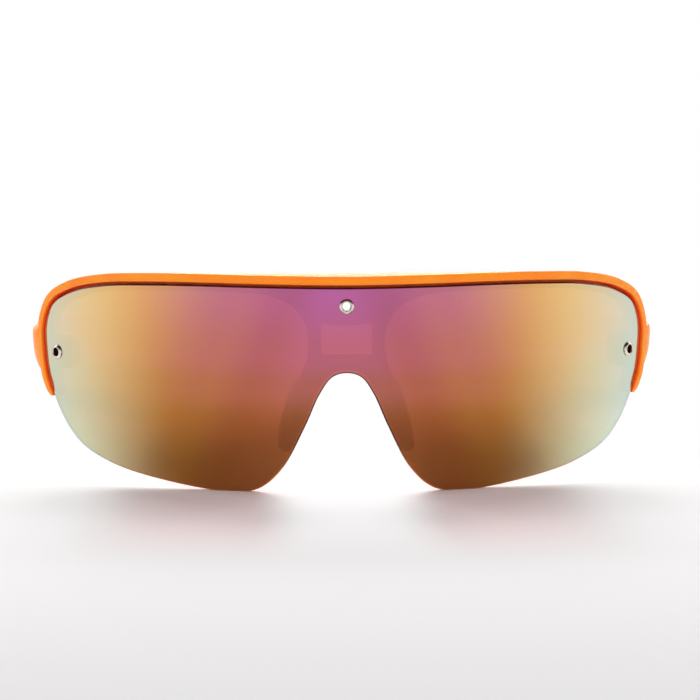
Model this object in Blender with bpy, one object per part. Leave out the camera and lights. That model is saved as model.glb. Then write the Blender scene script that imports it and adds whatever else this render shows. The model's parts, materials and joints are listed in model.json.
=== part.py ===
"""Wraparound sunglasses: a single shield lens riveted into a half-rim front, with two folding temples.

Metres, +Z up. The lens faces -Y, the temples run back along +Y, and the wearer's left is at +X.
The glasses stand open on the lens's two lowest edges and on the feet of both temples, at Z = 0.
"""

import math

import bmesh
import bpy
from mathutils import Matrix, Vector

MM = 0.001

# Fits between neighbouring pieces
PART_GAP = 0.3 * MM
FIT_GAP = 0.1 * MM
RUNNING_GAP = 0.05 * MM
CUT_OVERRUN = 1.0 * MM

SHARP_ANGLE = math.radians(35.0)

# The curved face that the lens and the front follow
WRAP_RADIUS = 93.0 * MM
FACE_RADIUS = 150.0 * MM
FACE_TILT = math.radians(6.0)
BEND_STEP = 4.0 * MM
RISE_STEP = 6.0 * MM

# Lens: half of its flat outline, from the top centre round the side to the top of the nose notch
LENS_HALF_ARC = 81.0 * MM
LENS_HEIGHT = 48.1 * MM
LENS_THICKNESS = 1.8 * MM
LENS_FLAT = 0.15 * MM
LENS_OUTLINE_SHARES = (
    (0.0, 0.991),
    (0.23, 0.995),
    (0.432, 0.999),
    (0.60, 0.996),
    (0.74, 0.984),
    (0.877, 0.942),
    (0.963, 0.872),
    (0.998, 0.768),
    (0.998, 0.650),
    (0.983, 0.521),
    (0.934, 0.350),
    (0.852, 0.204),
    (0.728, 0.110),
    (0.543, 0.041),
    (0.333, 0.0),
    (0.2506, 0.021),
    (0.185, 0.121),
    (0.1185, 0.331),
    (0.0765, 0.4875),
    (0.0407, 0.569),
    (0.0, 0.5885),
)
OUTLINE_STEPS = 4
SIDE_STEPS = 9

# Rim: the wall that stands round the lens's top and sides
RIM_TOP_WALL = 2.0 * MM
RIM_SIDE_WALL = 1.4 * MM
RIM_PROUD = 1.0 * MM
RIM_BACK = 5.0 * MM
RIM_FALL = 0.4 * MM
SHELF_RISE = 0.25 * MM
RIM_CHAMFER = 0.4 * MM
BROW_DEPTH = 9.0 * MM
BROW_HALF_ARC = 46.0 * MM
BROW_EASE = 1.5
RIM_TOP_GAP = 0.72 * MM
RIM_TIP_REACH = 5.0 * MM
RIM_TIP_SHARES = ((0.62, 0.90), (0.86, 0.66), (1.0, 0.34))

# Seat: the plate behind the lens, which widens into the bridge and the two nose legs
SEAT_THICKNESS = 2.0 * MM
LEDGE_WIDTH = 1.4 * MM
NOSE_COVER = 0.7 * MM
BRIDGE_SHARES = (
    (0.333, 0.966),
    (0.222, 0.947),
    (0.152, 0.894),
    (0.120, 0.816),
    (0.110, 0.733),
    (0.115, 0.656),
    (0.1345, 0.560),
    (0.165, 0.400),
    (0.194, 0.262),
    (0.197, 0.222),
    (0.180, 0.200),
)
WINDOW_WIDTH = 11.8 * MM
WINDOW_HEIGHT = 7.4 * MM
WINDOW_SAG = 0.7 * MM
WINDOW_LOWER_SAG = 0.35 * MM
WINDOW_CORNER = 0.5 * MM
WINDOW_CENTRE_SHARE = 0.746
WINDOW_STEPS = 6

# Eyelets: hollow rivets that clamp the lens to the seat
EYELET_BORE = 1.0 * MM
EYELET_BARREL = 1.25 * MM
EYELET_FLANGE = 1.72 * MM
FLANGE_THICKNESS = 0.45 * MM
# Flange and rolled end: way out from the bore to the rim, and way through the metal from outside
DOME_SHARES = ((0.0, 0.55), (0.18, 0.12), (0.45, 0.0), (0.75, 0.25), (1.0, 0.75))
ROLL_SHARES = ((1.0, 0.55), (0.45, 0.0), (0.0, 0.25))
EYELET_SIDES = 20
CENTRE_EYELET_SHARE = 0.903
SIDE_EYELET_EDGE = 4.7 * MM
BOSS_RADIUS = 4.2 * MM
BOSS_RISE = 0.5 * MM
BOSS_SIDES = 32
WASHER_RADIUS = 2.4 * MM
WASHER_THICKNESS = 0.4 * MM

# Hinge: knuckles turned about a screw, with their leaves screwed to the inner faces
HINGE_HEIGHT_SHARE = 0.6375
KNUCKLE_RADIUS = 1.3 * MM
KNUCKLE_HEIGHT = 2.2 * MM
KNUCKLE_GAP = 0.2 * MM
KNUCKLE_SIDES = 28
PIN_RADIUS = 0.7 * MM
PIN_HEAD_RADIUS = 1.2 * MM
PIN_HEAD_HEIGHT = 0.6 * MM
PIN_HEAD_EDGE = 0.35 * MM
PIN_HEAD_TOP_RADIUS = 0.95 * MM
PIN_TIP_RADIUS = 0.5 * MM
PIN_TIP_LENGTH = 0.3 * MM
LEAF_THICKNESS = 0.9 * MM
LEAF_MARGIN = 0.25 * MM
FRAME_LEAF_LENGTH = 4.6 * MM
TEMPLE_LEAF_LENGTH = 8.0 * MM
WEB_INSET = 0.06 * MM
SCREW_RADIUS = 0.5 * MM
SCREW_HEAD_RADIUS = 0.9 * MM
SCREW_HEAD_DEPTH = 0.45 * MM
SCREW_LENGTH = 2.6 * MM
SCREW_TIP_RADIUS = 0.2 * MM
SCREW_TIP_LENGTH = 0.5 * MM
SCREW_SIDES = 16
SCREW_SPREAD = 4.2 * MM
SLOT_WIDTH = 0.3 * MM
SLOT_DEPTH = 0.2 * MM

# End pieces and temples
END_PIECE_LENGTH = 7.6 * MM
BUTT_GAP = 0.15 * MM
ARM_HEIGHT = 11.3 * MM
ARM_THICKNESS = 5.2 * MM
AXIS_INSET = 0.1 * MM
# The arms' section: way out from the inner face, and way up from the bottom
ARM_SECTION_SHARES = (
    (0.0, 0.12),
    (0.0, 0.50),
    (0.0, 0.88),
    (0.03, 0.965),
    (0.12, 1.0),
    (0.45, 1.0),
    (0.78, 0.99),
    (0.94, 0.94),
    (1.0, 0.85),
    (0.985, 0.66),
    (0.945, 0.46),
    (0.865, 0.27),
    (0.74, 0.11),
    (0.56, 0.015),
    (0.36, 0.0),
    (0.12, 0.0),
    (0.03, 0.035),
)
# Along the end piece: way forward, inner and outer face, height, and how far it leans with the face
END_PIECE_SHARES = (
    (0.0, 0.0, 1.0, 1.0, 0.0),
    (0.26, 0.0, 1.0, 1.0, 0.1),
    (0.50, 0.0, 0.985, 1.0, 0.3),
    (0.74, 0.0, 0.93, 0.995, 0.6),
    (1.12, -0.06, 0.74, 0.97, 1.0),
    (1.40, 0.06, 0.38, 0.92, 1.0),
)
TEMPLE_LENGTH = 118.0 * MM
TOE_ANGLE = math.radians(3.0)
EAR_TUCK = 4.0 * MM
EAR_START_SHARE = 0.66
FOOT_FLAT = 0.4 * MM
# Along the temple: length, fall towards the floor, height and thickness of the section
TEMPLE_SHARES = (
    (0.0, 0.0, 1.0, 1.0),
    (0.06, 0.0, 1.0, 0.99),
    (0.13, -0.006, 0.965, 0.93),
    (0.22, -0.014, 0.88, 0.84),
    (0.34, -0.012, 0.775, 0.755),
    (0.47, 0.006, 0.70, 0.70),
    (0.58, 0.042, 0.665, 0.665),
    (0.68, 0.115, 0.655, 0.65),
    (0.76, 0.235, 0.66, 0.645),
    (0.83, 0.395, 0.68, 0.65),
    (0.90, 0.595, 0.71, 0.66),
    (0.955, 0.765, 0.71, 0.645),
    (0.985, 0.862, 0.61, 0.56),
    (1.0, 0.912, 0.36, 0.36),
)
TEMPLE_STEPS = 3

# Nose pads: soft blades behind the legs, each held by a peg
PAD_TOP_SHARES = (0.122, 0.520)
PAD_FOOT_SHARES = (0.183, 0.232)
PAD_DEPTH = 8.2 * MM
PAD_THICKNESS = 2.8 * MM
PAD_SPLAY = math.radians(24.0)
PAD_STATION_SHARES = (
    (-0.10, 0.30, 0.42),
    (-0.04, 0.52, 0.72),
    (0.06, 0.76, 0.92),
    (0.20, 0.94, 1.0),
    (0.40, 1.0, 1.0),
    (0.60, 0.99, 1.0),
    (0.80, 0.90, 1.0),
    (0.94, 0.74, 0.92),
    (1.04, 0.50, 0.72),
    (1.10, 0.28, 0.42),
)
PAD_SECTION_SHARES = (
    (0.0, -0.36),
    (0.0, 0.36),
    (0.10, 0.49),
    (0.30, 0.50),
    (0.55, 0.43),
    (0.78, 0.36),
    (0.93, 0.24),
    (1.0, 0.0),
    (0.93, -0.26),
    (0.78, -0.40),
    (0.55, -0.48),
    (0.30, -0.52),
    (0.10, -0.49),
)
PEG_RADIUS = 0.9 * MM
PEG_SIDES = 16
PEG_SHARE = 0.42
PEG_SINK = 1.2 * MM

ORANGE = ("orange_nylon", (0.95, 0.22, 0.02, 1.0), 0.45, 0.0)
MIRROR = ("mirrored_lens", (0.62, 0.20, 0.22, 1.0), 0.08, 0.9)
STEEL = ("bright_steel", (0.72, 0.71, 0.68, 1.0), 0.22, 1.0)
RUBBER = ("soft_rubber", (0.03, 0.03, 0.035, 1.0), 0.7, 0.0)


def clear_scene():
    """Removes every object of the startup scene."""
    for old in list(bpy.data.objects):
        bpy.data.objects.remove(old)


def material(finish):
    """The finish's material, made the first time that it is asked for."""
    name, colour, roughness, metallic = finish
    found = bpy.data.materials.get(name)
    if found:
        return found
    made = bpy.data.materials.new(name)
    made.use_nodes = True
    shader = made.node_tree.nodes["Principled BSDF"]
    shader.inputs["Base Color"].default_value = colour
    shader.inputs["Roughness"].default_value = roughness
    shader.inputs["Metallic"].default_value = metallic
    made.diffuse_color = colour
    return made


# Solids


def loft(loops, ring=False):
    """A closed solid through loops of equal length, either capped at both ends or joined into a ring."""
    solid = bmesh.new()
    rows = [[solid.verts.new(point) for point in loop] for loop in loops]
    pairs = list(zip(rows, rows[1:]))
    if ring:
        pairs.append((rows[-1], rows[0]))
    for first, second in pairs:
        for i in range(len(first)):
            j = (i + 1) % len(first)
            solid.faces.new((first[i], first[j], second[j], second[i]))
    if not ring:
        solid.faces.new(rows[0])
        solid.faces.new(rows[-1])
    bmesh.ops.recalc_face_normals(solid, faces=solid.faces)
    return solid


def circle(radius, height, sides):
    """Points of a level circle about the Z axis."""
    turns = [math.tau * i / sides for i in range(sides)]
    return [Vector((radius * math.cos(a), radius * math.sin(a), height)) for a in turns]


def turned(profile, sides, ring=False):
    """A solid turned about Z from (radius, height) points."""
    return loft([circle(radius, height, sides) for radius, height in profile], ring)


def rod(radius, bottom, top, sides):
    """An upright cylinder."""
    return turned(((radius, bottom), (radius, top)), sides)


def block(low, high):
    """A box between two corners."""
    corners = ((low[0], low[1]), (high[0], low[1]), (high[0], high[1]), (low[0], high[1]))
    return loft([[Vector((x, y, z)) for x, y in corners] for z in (low[2], high[2])])


def placed(solid, matrix):
    """The solid moved by a matrix."""
    bmesh.ops.transform(solid, matrix=matrix, verts=solid.verts)
    return solid


def mirrored(solid):
    """The solid's mirror image across the YZ plane."""
    for vert in solid.verts:
        vert.co.x = -vert.co.x
    bmesh.ops.reverse_faces(solid, faces=solid.faces)
    return solid


def scratch_object(solid):
    """A temporary object that holds the solid for a Boolean."""
    mesh = bpy.data.meshes.new("scratch")
    solid.to_mesh(mesh)
    solid.free()
    made = bpy.data.objects.new("scratch", mesh)
    bpy.context.scene.collection.objects.link(made)
    return made


def combined(solid, tool, operation):
    """The solid with the tool joined to it (UNION) or cut from it (DIFFERENCE)."""
    base = scratch_object(solid)
    other = scratch_object(tool)
    step = base.modifiers.new("combine", "BOOLEAN")
    step.operation = operation
    step.solver = "EXACT"
    step.object = other
    graph = bpy.context.evaluated_depsgraph_get()
    result = bmesh.new()
    result.from_object(base, graph)
    for used in (base, other):
        mesh = used.data
        bpy.data.objects.remove(used)
        bpy.data.meshes.remove(mesh)
    return result


def joined(solid, *tools):
    """The solid with every tool joined to it."""
    for tool in tools:
        solid = combined(solid, tool, "UNION")
    return solid


def carved(solid, *tools):
    """The solid with every tool cut from it."""
    for tool in tools:
        solid = combined(solid, tool, "DIFFERENCE")
    return solid


def piece(name, solid, finish, parent):
    """One named object of the assembly, made from the solid."""
    mesh = bpy.data.meshes.new(name)
    solid.to_mesh(mesh)
    solid.free()
    mesh.shade_smooth()
    mesh.set_sharp_from_angle(angle=SHARP_ANGLE)
    made = bpy.data.objects.new(name, mesh)
    made.data.materials.append(material(finish))
    made.parent = parent
    bpy.context.scene.collection.objects.link(made)
    return made


def empty(name, place, parent=None):
    """A named empty that carries pieces."""
    made = bpy.data.objects.new(name, None)
    made.location = place
    made.parent = parent
    bpy.context.scene.collection.objects.link(made)
    return made


# Curves on the flat pattern, as Vectors of (arc, height)


def spline(keys, steps):
    """Points on a smooth curve through the keys; the first and last key are only its guides."""
    points = []
    for before, start, end, after in zip(keys, keys[1:], keys[2:], keys[3:]):
        pairs = ((before, start), (start, end), (end, after))
        lead, span, trail = [math.sqrt((b - a).length) for a, b in pairs]
        out = (start - before) / lead - (end - before) / (lead + span) + (end - start) / span
        into = (end - start) / span - (after - start) / (span + trail) + (after - end) / trail
        out *= span
        into *= span
        for i in range(steps):
            t = i / steps
            a = 2 * t**3 - 3 * t**2 + 1
            b = t**3 - 2 * t**2 + t
            c = 3 * t**2 - 2 * t**3
            d = t**3 - t**2
            points.append(a * start + b * out + c * end + d * into)
    points.append(keys[-2].copy())
    return points


def flipped(point):
    """The point's mirror image across the centre line."""
    return Vector((-point[0], *point[1:]))


def outward(points, i, side=1):
    """The curve's unit normal at one point; side 1 is to the left of its travel, -1 to the right."""
    along = points[min(i + 1, len(points) - 1)] - points[max(i - 1, 0)]
    return side * Vector((-along.y, along.x)).normalized()


def lens_keys():
    """The half outline's key points."""
    return [Vector((a * LENS_HALF_ARC, h * LENS_HEIGHT - LENS_FLAT)) for a, h in LENS_OUTLINE_SHARES]


def half_lens_outline():
    """The lens's edge from the top centre, round the left side, to the top of the notch."""
    keys = lens_keys()
    guided = [flipped(keys[1]), *keys, flipped(keys[-2])]
    return spline(guided, OUTLINE_STEPS)


def lens_outline():
    """The whole edge of the lens, flat on its lowest stretches so that it stands."""
    half = half_lens_outline()
    whole = half + [flipped(p) for p in reversed(half[1:-1])]
    return [Vector((p.x, max(p.y, 0.0))) for p in whole]


def on_wrap(arc, height, depth):
    """The place in space of a flat pattern's point, at a depth behind the lens's front face."""
    turn = arc / WRAP_RADIUS
    radius = WRAP_RADIUS - depth
    rise = height - LENS_HEIGHT / 2
    lean = rise * rise / (2 * FACE_RADIUS) - rise * math.tan(FACE_TILT)
    return Vector((radius * math.sin(turn), WRAP_RADIUS - radius * math.cos(turn) + lean, height))


def frame_on_wrap(arc, height):
    """A matrix at a point of the lens's front face, with +Z along the way into the face."""
    small = LENS_THICKNESS
    place = on_wrap(arc, height, 0.0)
    across = on_wrap(arc + small, height, 0.0) - on_wrap(arc - small, height, 0.0)
    up = on_wrap(arc, height + small, 0.0) - on_wrap(arc, height - small, 0.0)
    inward = up.cross(across).normalized()
    if inward.y < 0:
        inward = -inward
    across.normalize()
    up = inward.cross(across)
    turn = Matrix((across, up, inward)).transposed()
    return Matrix.Translation(place) @ turn.to_4x4()


def slice_flat(solid, spacing, axis):
    """Cuts the flat pattern's faces along evenly spaced lines, so that it can bend."""
    reach = max(abs(v.co[axis]) for v in solid.verts)
    count = math.ceil(2 * reach / spacing)
    normal = Vector((axis == 0, axis == 1, 0.0))
    for i in range(count + 1):
        at = -reach + spacing * (i + 0.5)
        geometry = solid.verts[:] + solid.edges[:] + solid.faces[:]
        bmesh.ops.bisect_plane(solid, geom=geometry, plane_co=normal * at, plane_no=normal)


def bent_plate(outline, front, back):
    """A plate cut to the outline and bent to the wrap between two depths."""
    solid = bmesh.new()
    solid.faces.new([solid.verts.new((p.x, p.y, 0.0)) for p in outline])
    slice_flat(solid, BEND_STEP, 0)
    slice_flat(solid, RISE_STEP, 1)
    made = bmesh.ops.extrude_face_region(solid, geom=solid.faces[:])
    behind = {v for v in made["geom"] if isinstance(v, bmesh.types.BMVert)}
    for vert in solid.verts:
        vert.co = on_wrap(vert.co.x, vert.co.y, back if vert in behind else front)
    bmesh.ops.recalc_face_normals(solid, faces=solid.faces)
    return solid


# Shared places


def seat_front():
    """Depth of the seat's front face."""
    return LENS_THICKNESS + PART_GAP


def seat_back():
    """Depth of the seat's back face."""
    return seat_front() + SEAT_THICKNESS


def hinge_height():
    """Height of the hinges' middle, and of the side eyelets."""
    return HINGE_HEIGHT_SHARE * LENS_HEIGHT


def toward_top(normal, side, top):
    """A rim size between its value at the sides and its value along the top."""
    upward = max(normal.y, 0.0) ** 2
    return side + (top - side) * upward


def rim_gap(normal):
    """The gap between lens and rim."""
    return toward_top(normal, PART_GAP, RIM_TOP_GAP)


def rim_wall(normal):
    """The rim's wall thickness."""
    return toward_top(normal, RIM_SIDE_WALL, RIM_TOP_WALL)


def shelf_share(point):
    """1 over the bridge, where the rim's top is a level shelf, falling to 0 at the shelf's ends."""
    return max(1 - (point.x / BROW_HALF_ARC) ** 2, 0.0) ** BROW_EASE


def rim_stations():
    """The rim's half path, from the top centre to its tip: point on the lens's edge, normal, size share."""
    keys = lens_keys()
    half = half_lens_outline()
    last = SIDE_STEPS * OUTLINE_STEPS
    points = half[: last + 2]
    stations = []
    for i in range(last + 1):
        normal = outward(points, i) if i else Vector((0.0, 1.0))
        stations.append((points[i], normal, 1.0))
    side = keys[SIDE_STEPS]
    below = (keys[SIDE_STEPS + 1] - side).normalized()
    normal = stations[-1][1]
    bend = Vector((below.y, -below.x))
    bend = bend if bend.x > 0 else -bend
    for reach, size in RIM_TIP_SHARES:
        along = reach * RIM_TIP_REACH
        stations.append((side + below * along, normal.lerp(bend, reach), size))
    return stations


def hinge_axis():
    """A point on the left hinge's axis, at the middle of its knuckles."""
    corner = on_wrap(LENS_HALF_ARC + PART_GAP + RIM_SIDE_WALL, hinge_height(), RIM_BACK)
    return Vector((corner.x - AXIS_INSET, corner.y + END_PIECE_LENGTH, hinge_height()))


def inner_face():
    """How far outside the hinge's axis the arms' inner faces lie."""
    return KNUCKLE_RADIUS + FIT_GAP


def pad_line():
    """The nose pad's top and foot on the flat pattern."""
    ends = (PAD_TOP_SHARES, PAD_FOOT_SHARES)
    return [Vector((a * LENS_HALF_ARC, h * LENS_HEIGHT)) for a, h in ends]


def eyelet_places():
    """Flat-pattern place of each eyelet, by the name of its side."""
    side = LENS_HALF_ARC - SIDE_EYELET_EDGE
    return {
        "centre": (0.0, CENTRE_EYELET_SHARE * LENS_HEIGHT),
        "left": (side, hinge_height()),
        "right": (-side, hinge_height()),
    }


# The front


def rim():
    """The rim's wall, swept from tip to tip."""
    half = rim_stations()
    stations = [(flipped(p), flipped(n), size) for p, n, size in reversed(half[1:])] + half
    loops = []
    for point, normal, size in stations:
        middle = rim_gap(normal) + rim_wall(normal) / 2
        wall = rim_wall(normal) / 2 * size
        shelf = shelf_share(point)
        front = -RIM_PROUD * size
        back = RIM_BACK + (BROW_DEPTH - RIM_BACK) * shelf - (1 - size) * RIM_PROUD
        fall = (RIM_FALL * (1 - shelf) - SHELF_RISE * shelf) * size
        cut = RIM_CHAMFER * size
        corners = (
            (-wall, front + cut),
            (-wall + cut, front),
            (wall - cut, front),
            (wall, front + cut),
            (wall - fall, back - cut),
            (wall - fall - cut, back),
            (-wall + cut, back),
            (-wall, back - cut),
        )
        flat = [(point + normal * (middle + out), depth) for out, depth in corners]
        loops.append([on_wrap(p.x, p.y, depth) for p, depth in flat])
    return loft(loops)


def seat_outline():
    """The seat's edge: under the rim along the top and sides, and round the eye openings, legs and notch."""
    stations = rim_stations()
    outer = [p + n * (rim_gap(n) + rim_wall(n) / 2) for p, n, size in stations]
    ledge = [(p, n) for p, n, size in stations if p.x > BRIDGE_SHARES[0][0] * LENS_HALF_ARC + LEDGE_WIDTH]
    inner = [p - n * LEDGE_WIDTH for p, n in reversed(ledge[: -len(RIM_TIP_SHARES)])]
    keys = [Vector((a * LENS_HALF_ARC, h * LENS_HEIGHT)) for a, h in BRIDGE_SHARES]
    guided = [inner[-1], *keys, keys[-1] + (keys[-1] - keys[-2])]
    bridge = spline(guided, OUTLINE_STEPS)
    lens = half_lens_outline()
    notch = []
    for i in range(len(lens) - 1, 0, -1):
        raised = lens[i] + outward(lens, i, -1) * NOSE_COVER
        if lens[i].y < BRIDGE_SHARES[-1][1] * LENS_HEIGHT:
            break
        notch.append(raised if i < len(lens) - 1 else lens[i] + Vector((0.0, NOSE_COVER)))
    half = outer + inner + bridge + list(reversed(notch))
    return half + [flipped(p) for p in reversed(half[1:-1])]


def window_outline():
    """The bridge's window, whose long sides sag a little."""
    middle = WINDOW_CENTRE_SHARE * LENS_HEIGHT
    half_width = WINDOW_WIDTH / 2
    half_height = WINDOW_HEIGHT / 2
    run = half_width - WINDOW_CORNER
    points = []
    for side in (1, -1):
        for i in range(WINDOW_STEPS + 1):
            x = run * (1 - 2 * i / WINDOW_STEPS) * side
            sag = WINDOW_SAG if side > 0 else -WINDOW_LOWER_SAG
            points.append(Vector((x, middle + side * half_height - sag * (1 - (x / run) ** 2))))
        points.append(Vector((-half_width * side, middle + side * (half_height - WINDOW_CORNER))))
        points.append(Vector((-half_width * side, middle - side * (half_height - WINDOW_CORNER))))
    return points


def eyelet_boss(place):
    """A round boss behind the lens that a side eyelet passes through."""
    arc, height = place
    ring = [Vector((arc + p.x, height + p.y)) for p in circle(BOSS_RADIUS, 0.0, BOSS_SIDES)]
    return bent_plate(ring, seat_front() + FIT_GAP / 2, seat_back() + BOSS_RISE)


def window_cutter():
    """The cutter for the bridge's window."""
    flat = window_outline()
    depths = (seat_front() - CUT_OVERRUN, seat_back() + CUT_OVERRUN)
    return loft([[on_wrap(p.x, p.y, depth) for p in flat] for depth in depths])


def end_piece():
    """The block that reaches from the rim's left side back to the hinge."""
    axis = hinge_axis()
    base = on_wrap(0.0, hinge_height(), 0.0).y
    loops = []
    for along, inner, outer, size, follow in END_PIECE_SHARES:
        forward = BUTT_GAP + along * END_PIECE_LENGTH
        loop = []
        for across, up in ARM_SECTION_SHARES:
            rise = (up - 0.5) * ARM_HEIGHT * size
            lean = (on_wrap(0.0, hinge_height() + rise, 0.0).y - base) * follow
            out = inner_face() + (inner + across * (outer - inner)) * ARM_THICKNESS
            loop.append(axis + Vector((out, lean - forward, rise)))
        loops.append(loop)
    return loft(loops)


def eyelet_bore(place):
    """The cutter for an eyelet's hole through lens and seat."""
    depth = seat_back() + BOSS_RISE + CUT_OVERRUN
    tool = rod(EYELET_BARREL + FIT_GAP, -CUT_OVERRUN, depth, EYELET_SIDES)
    return placed(tool, frame_on_wrap(*place))


def peg_matrix():
    """The left peg's place, with +Z along the way from the leg into the pad."""
    top, foot = pad_line()
    at = top.lerp(foot, PEG_SHARE)
    return frame_on_wrap(at.x, at.y)


def leaf_screw_matrix(along, up):
    """Turns an upright screw, head up, so that it enters the left arm from its inner face."""
    head = KNUCKLE_RADIUS - LEAF_THICKNESS
    turn = Matrix.Rotation(math.radians(-90.0), 4, "Y")
    return Matrix.Translation((head, along, up)) @ turn


def leaf_screw_spots(way, length):
    """The two screws of a leaf, as (name, distance along the arm, height)."""
    reach = KNUCKLE_RADIUS + LEAF_MARGIN
    along = way * (reach + (length - LEAF_MARGIN) / 2)
    return (("upper", along, SCREW_SPREAD / 2), ("lower", along, -SCREW_SPREAD / 2))


def screw_bores(spots):
    """Cutters for a leaf's screws, in the hinge's own frame."""
    tools = []
    for _, along, up in spots:
        tool = rod(SCREW_RADIUS + FIT_GAP, -SCREW_LENGTH - PART_GAP, CUT_OVERRUN, SCREW_SIDES)
        tools.append(placed(tool, leaf_screw_matrix(along, up)))
    return tools


def frame_front(parent):
    """The orange front: rim, seat, bridge, legs and end pieces in one moulding."""
    seat = carved(bent_plate(seat_outline(), seat_front(), seat_back()), window_cutter())
    solid = joined(rim(), seat)
    places = eyelet_places()
    for side in ("left", "right"):
        solid = joined(solid, eyelet_boss(places[side]))
    solid = joined(solid, end_piece(), mirrored(end_piece()))
    for place in places.values():
        solid = carved(solid, eyelet_bore(place))
    to_hinge = Matrix.Translation(hinge_axis())
    for flip in (False, True):
        tools = screw_bores(leaf_screw_spots(-1, FRAME_LEAF_LENGTH))
        tools = [placed(tool, to_hinge) for tool in tools]
        peg = rod(PEG_RADIUS + FIT_GAP, 0.0, seat_back() + CUT_OVERRUN, PEG_SIDES)
        tools.append(placed(peg, peg_matrix()))
        solid = carved(solid, *[mirrored(tool) if flip else tool for tool in tools])
    return piece("frame_front", solid, ORANGE, parent)


def lens(parent):
    """The shield lens, with its three eyelet holes."""
    solid = bent_plate(lens_outline(), 0.0, LENS_THICKNESS)
    for place in eyelet_places().values():
        solid = carved(solid, eyelet_bore(place))
    return piece("lens", solid, MIRROR, parent)


# Hardware


def eyelet_back(side):
    """Depth at which an eyelet's rolled end starts."""
    rise = 0.0 if side == "centre" else BOSS_RISE
    return seat_back() + rise + FIT_GAP + WASHER_THICKNESS + FIT_GAP


def eyelet(side, place, parent):
    """One hollow rivet: a domed flange in front, a barrel, and a rolled end behind the washer."""
    front = -FIT_GAP
    back = eyelet_back(side)
    width = EYELET_FLANGE - EYELET_BORE
    profile = [
        (EYELET_BORE + out * width, front - (1 - through) * FLANGE_THICKNESS)
        for out, through in DOME_SHARES
    ]
    profile += [(EYELET_FLANGE, front), (EYELET_BARREL, front), (EYELET_BARREL, back), (EYELET_FLANGE, back)]
    profile += [
        (EYELET_BORE + out * width, back + (1 - through) * FLANGE_THICKNESS)
        for out, through in ROLL_SHARES
    ]
    solid = placed(turned(profile, EYELET_SIDES, ring=True), frame_on_wrap(*place))
    return piece("eyelet_" + side, solid, STEEL, parent)


def washer(side, place, parent):
    """The washer between the seat and an eyelet's rolled end."""
    back = eyelet_back(side) - FIT_GAP
    front = back - WASHER_THICKNESS
    hole = EYELET_BARREL + FIT_GAP
    profile = ((hole, front), (WASHER_RADIUS, front), (WASHER_RADIUS, back), (hole, back))
    solid = placed(turned(profile, EYELET_SIDES, ring=True), frame_on_wrap(*place))
    return piece("eyelet_washer_" + side, solid, STEEL, parent)


def knuckle_span(level):
    """Bottom and top of the knuckle at level -1, 0 or 1."""
    middle = level * (KNUCKLE_HEIGHT + KNUCKLE_GAP)
    return middle - KNUCKLE_HEIGHT / 2, middle + KNUCKLE_HEIGHT / 2


def leaf(levels, way, length):
    """A hinge leaf: a plate on the arm's inner face, with knuckles at these levels; way 1 is rearward."""
    inside = KNUCKLE_RADIUS - LEAF_THICKNESS
    near = KNUCKLE_RADIUS + LEAF_MARGIN
    half = knuckle_span(1)[1] + LEAF_MARGIN
    ends = sorted((way * near, way * (near + length - LEAF_MARGIN)))
    solid = block((inside, ends[0], -half), (KNUCKLE_RADIUS, ends[1], half))
    for level in levels:
        bottom, top = knuckle_span(level)
        web = sorted((way * PIN_RADIUS, way * (near + LEAF_THICKNESS)))
        low = (inside + WEB_INSET, web[0], bottom + WEB_INSET)
        high = (KNUCKLE_RADIUS - WEB_INSET, web[1], top - WEB_INSET)
        knuckle = joined(rod(KNUCKLE_RADIUS, bottom, top, KNUCKLE_SIDES), block(low, high))
        solid = joined(solid, knuckle)
    bore = rod(PIN_RADIUS + RUNNING_GAP, -half - CUT_OVERRUN, half + CUT_OVERRUN, KNUCKLE_SIDES)
    solid = carved(solid, bore)
    sink = FIT_GAP + SCREW_HEAD_RADIUS
    shank = SCREW_RADIUS + FIT_GAP
    profile = (
        (shank, -CUT_OVERRUN - LEAF_THICKNESS),
        (shank, -SCREW_HEAD_DEPTH - FIT_GAP),
        (sink, -FIT_GAP),
        (sink, CUT_OVERRUN),
    )
    for _, along, up in leaf_screw_spots(way, length):
        solid = carved(solid, placed(turned(profile, SCREW_SIDES), leaf_screw_matrix(along, up)))
    return solid


def leaf_screw():
    """A countersunk slotted screw, upright, its head's top at Z = 0."""
    profile = (
        (SCREW_TIP_RADIUS, -SCREW_LENGTH),
        (SCREW_RADIUS, -SCREW_LENGTH + SCREW_TIP_LENGTH),
        (SCREW_RADIUS, -SCREW_HEAD_DEPTH),
        (SCREW_HEAD_RADIUS, -FIT_GAP),
        (SCREW_HEAD_RADIUS, 0.0),
    )
    solid = turned(profile, SCREW_SIDES)
    reach = SCREW_HEAD_RADIUS + CUT_OVERRUN
    slot = block((-reach, -SLOT_WIDTH / 2, -SLOT_DEPTH), (reach, SLOT_WIDTH / 2, CUT_OVERRUN))
    return carved(solid, slot)


def hinge_screw():
    """The hinge's slotted screw, upright about its axis, head on top."""
    top = knuckle_span(1)[1] + FIT_GAP
    bottom = knuckle_span(-1)[0] - FIT_GAP
    profile = (
        (PIN_TIP_RADIUS, bottom - PIN_TIP_LENGTH),
        (PIN_RADIUS, bottom),
        (PIN_RADIUS, top),
        (PIN_HEAD_RADIUS, top),
        (PIN_HEAD_RADIUS, top + PIN_HEAD_EDGE),
        (PIN_HEAD_TOP_RADIUS, top + PIN_HEAD_HEIGHT),
    )
    solid = turned(profile, KNUCKLE_SIDES)
    reach = PIN_HEAD_RADIUS + CUT_OVERRUN
    floor = top + PIN_HEAD_HEIGHT - SLOT_DEPTH
    slot = block((-reach, -SLOT_WIDTH / 2, floor), (reach, SLOT_WIDTH / 2, floor + CUT_OVERRUN))
    return carved(solid, slot)


# Temples


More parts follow.
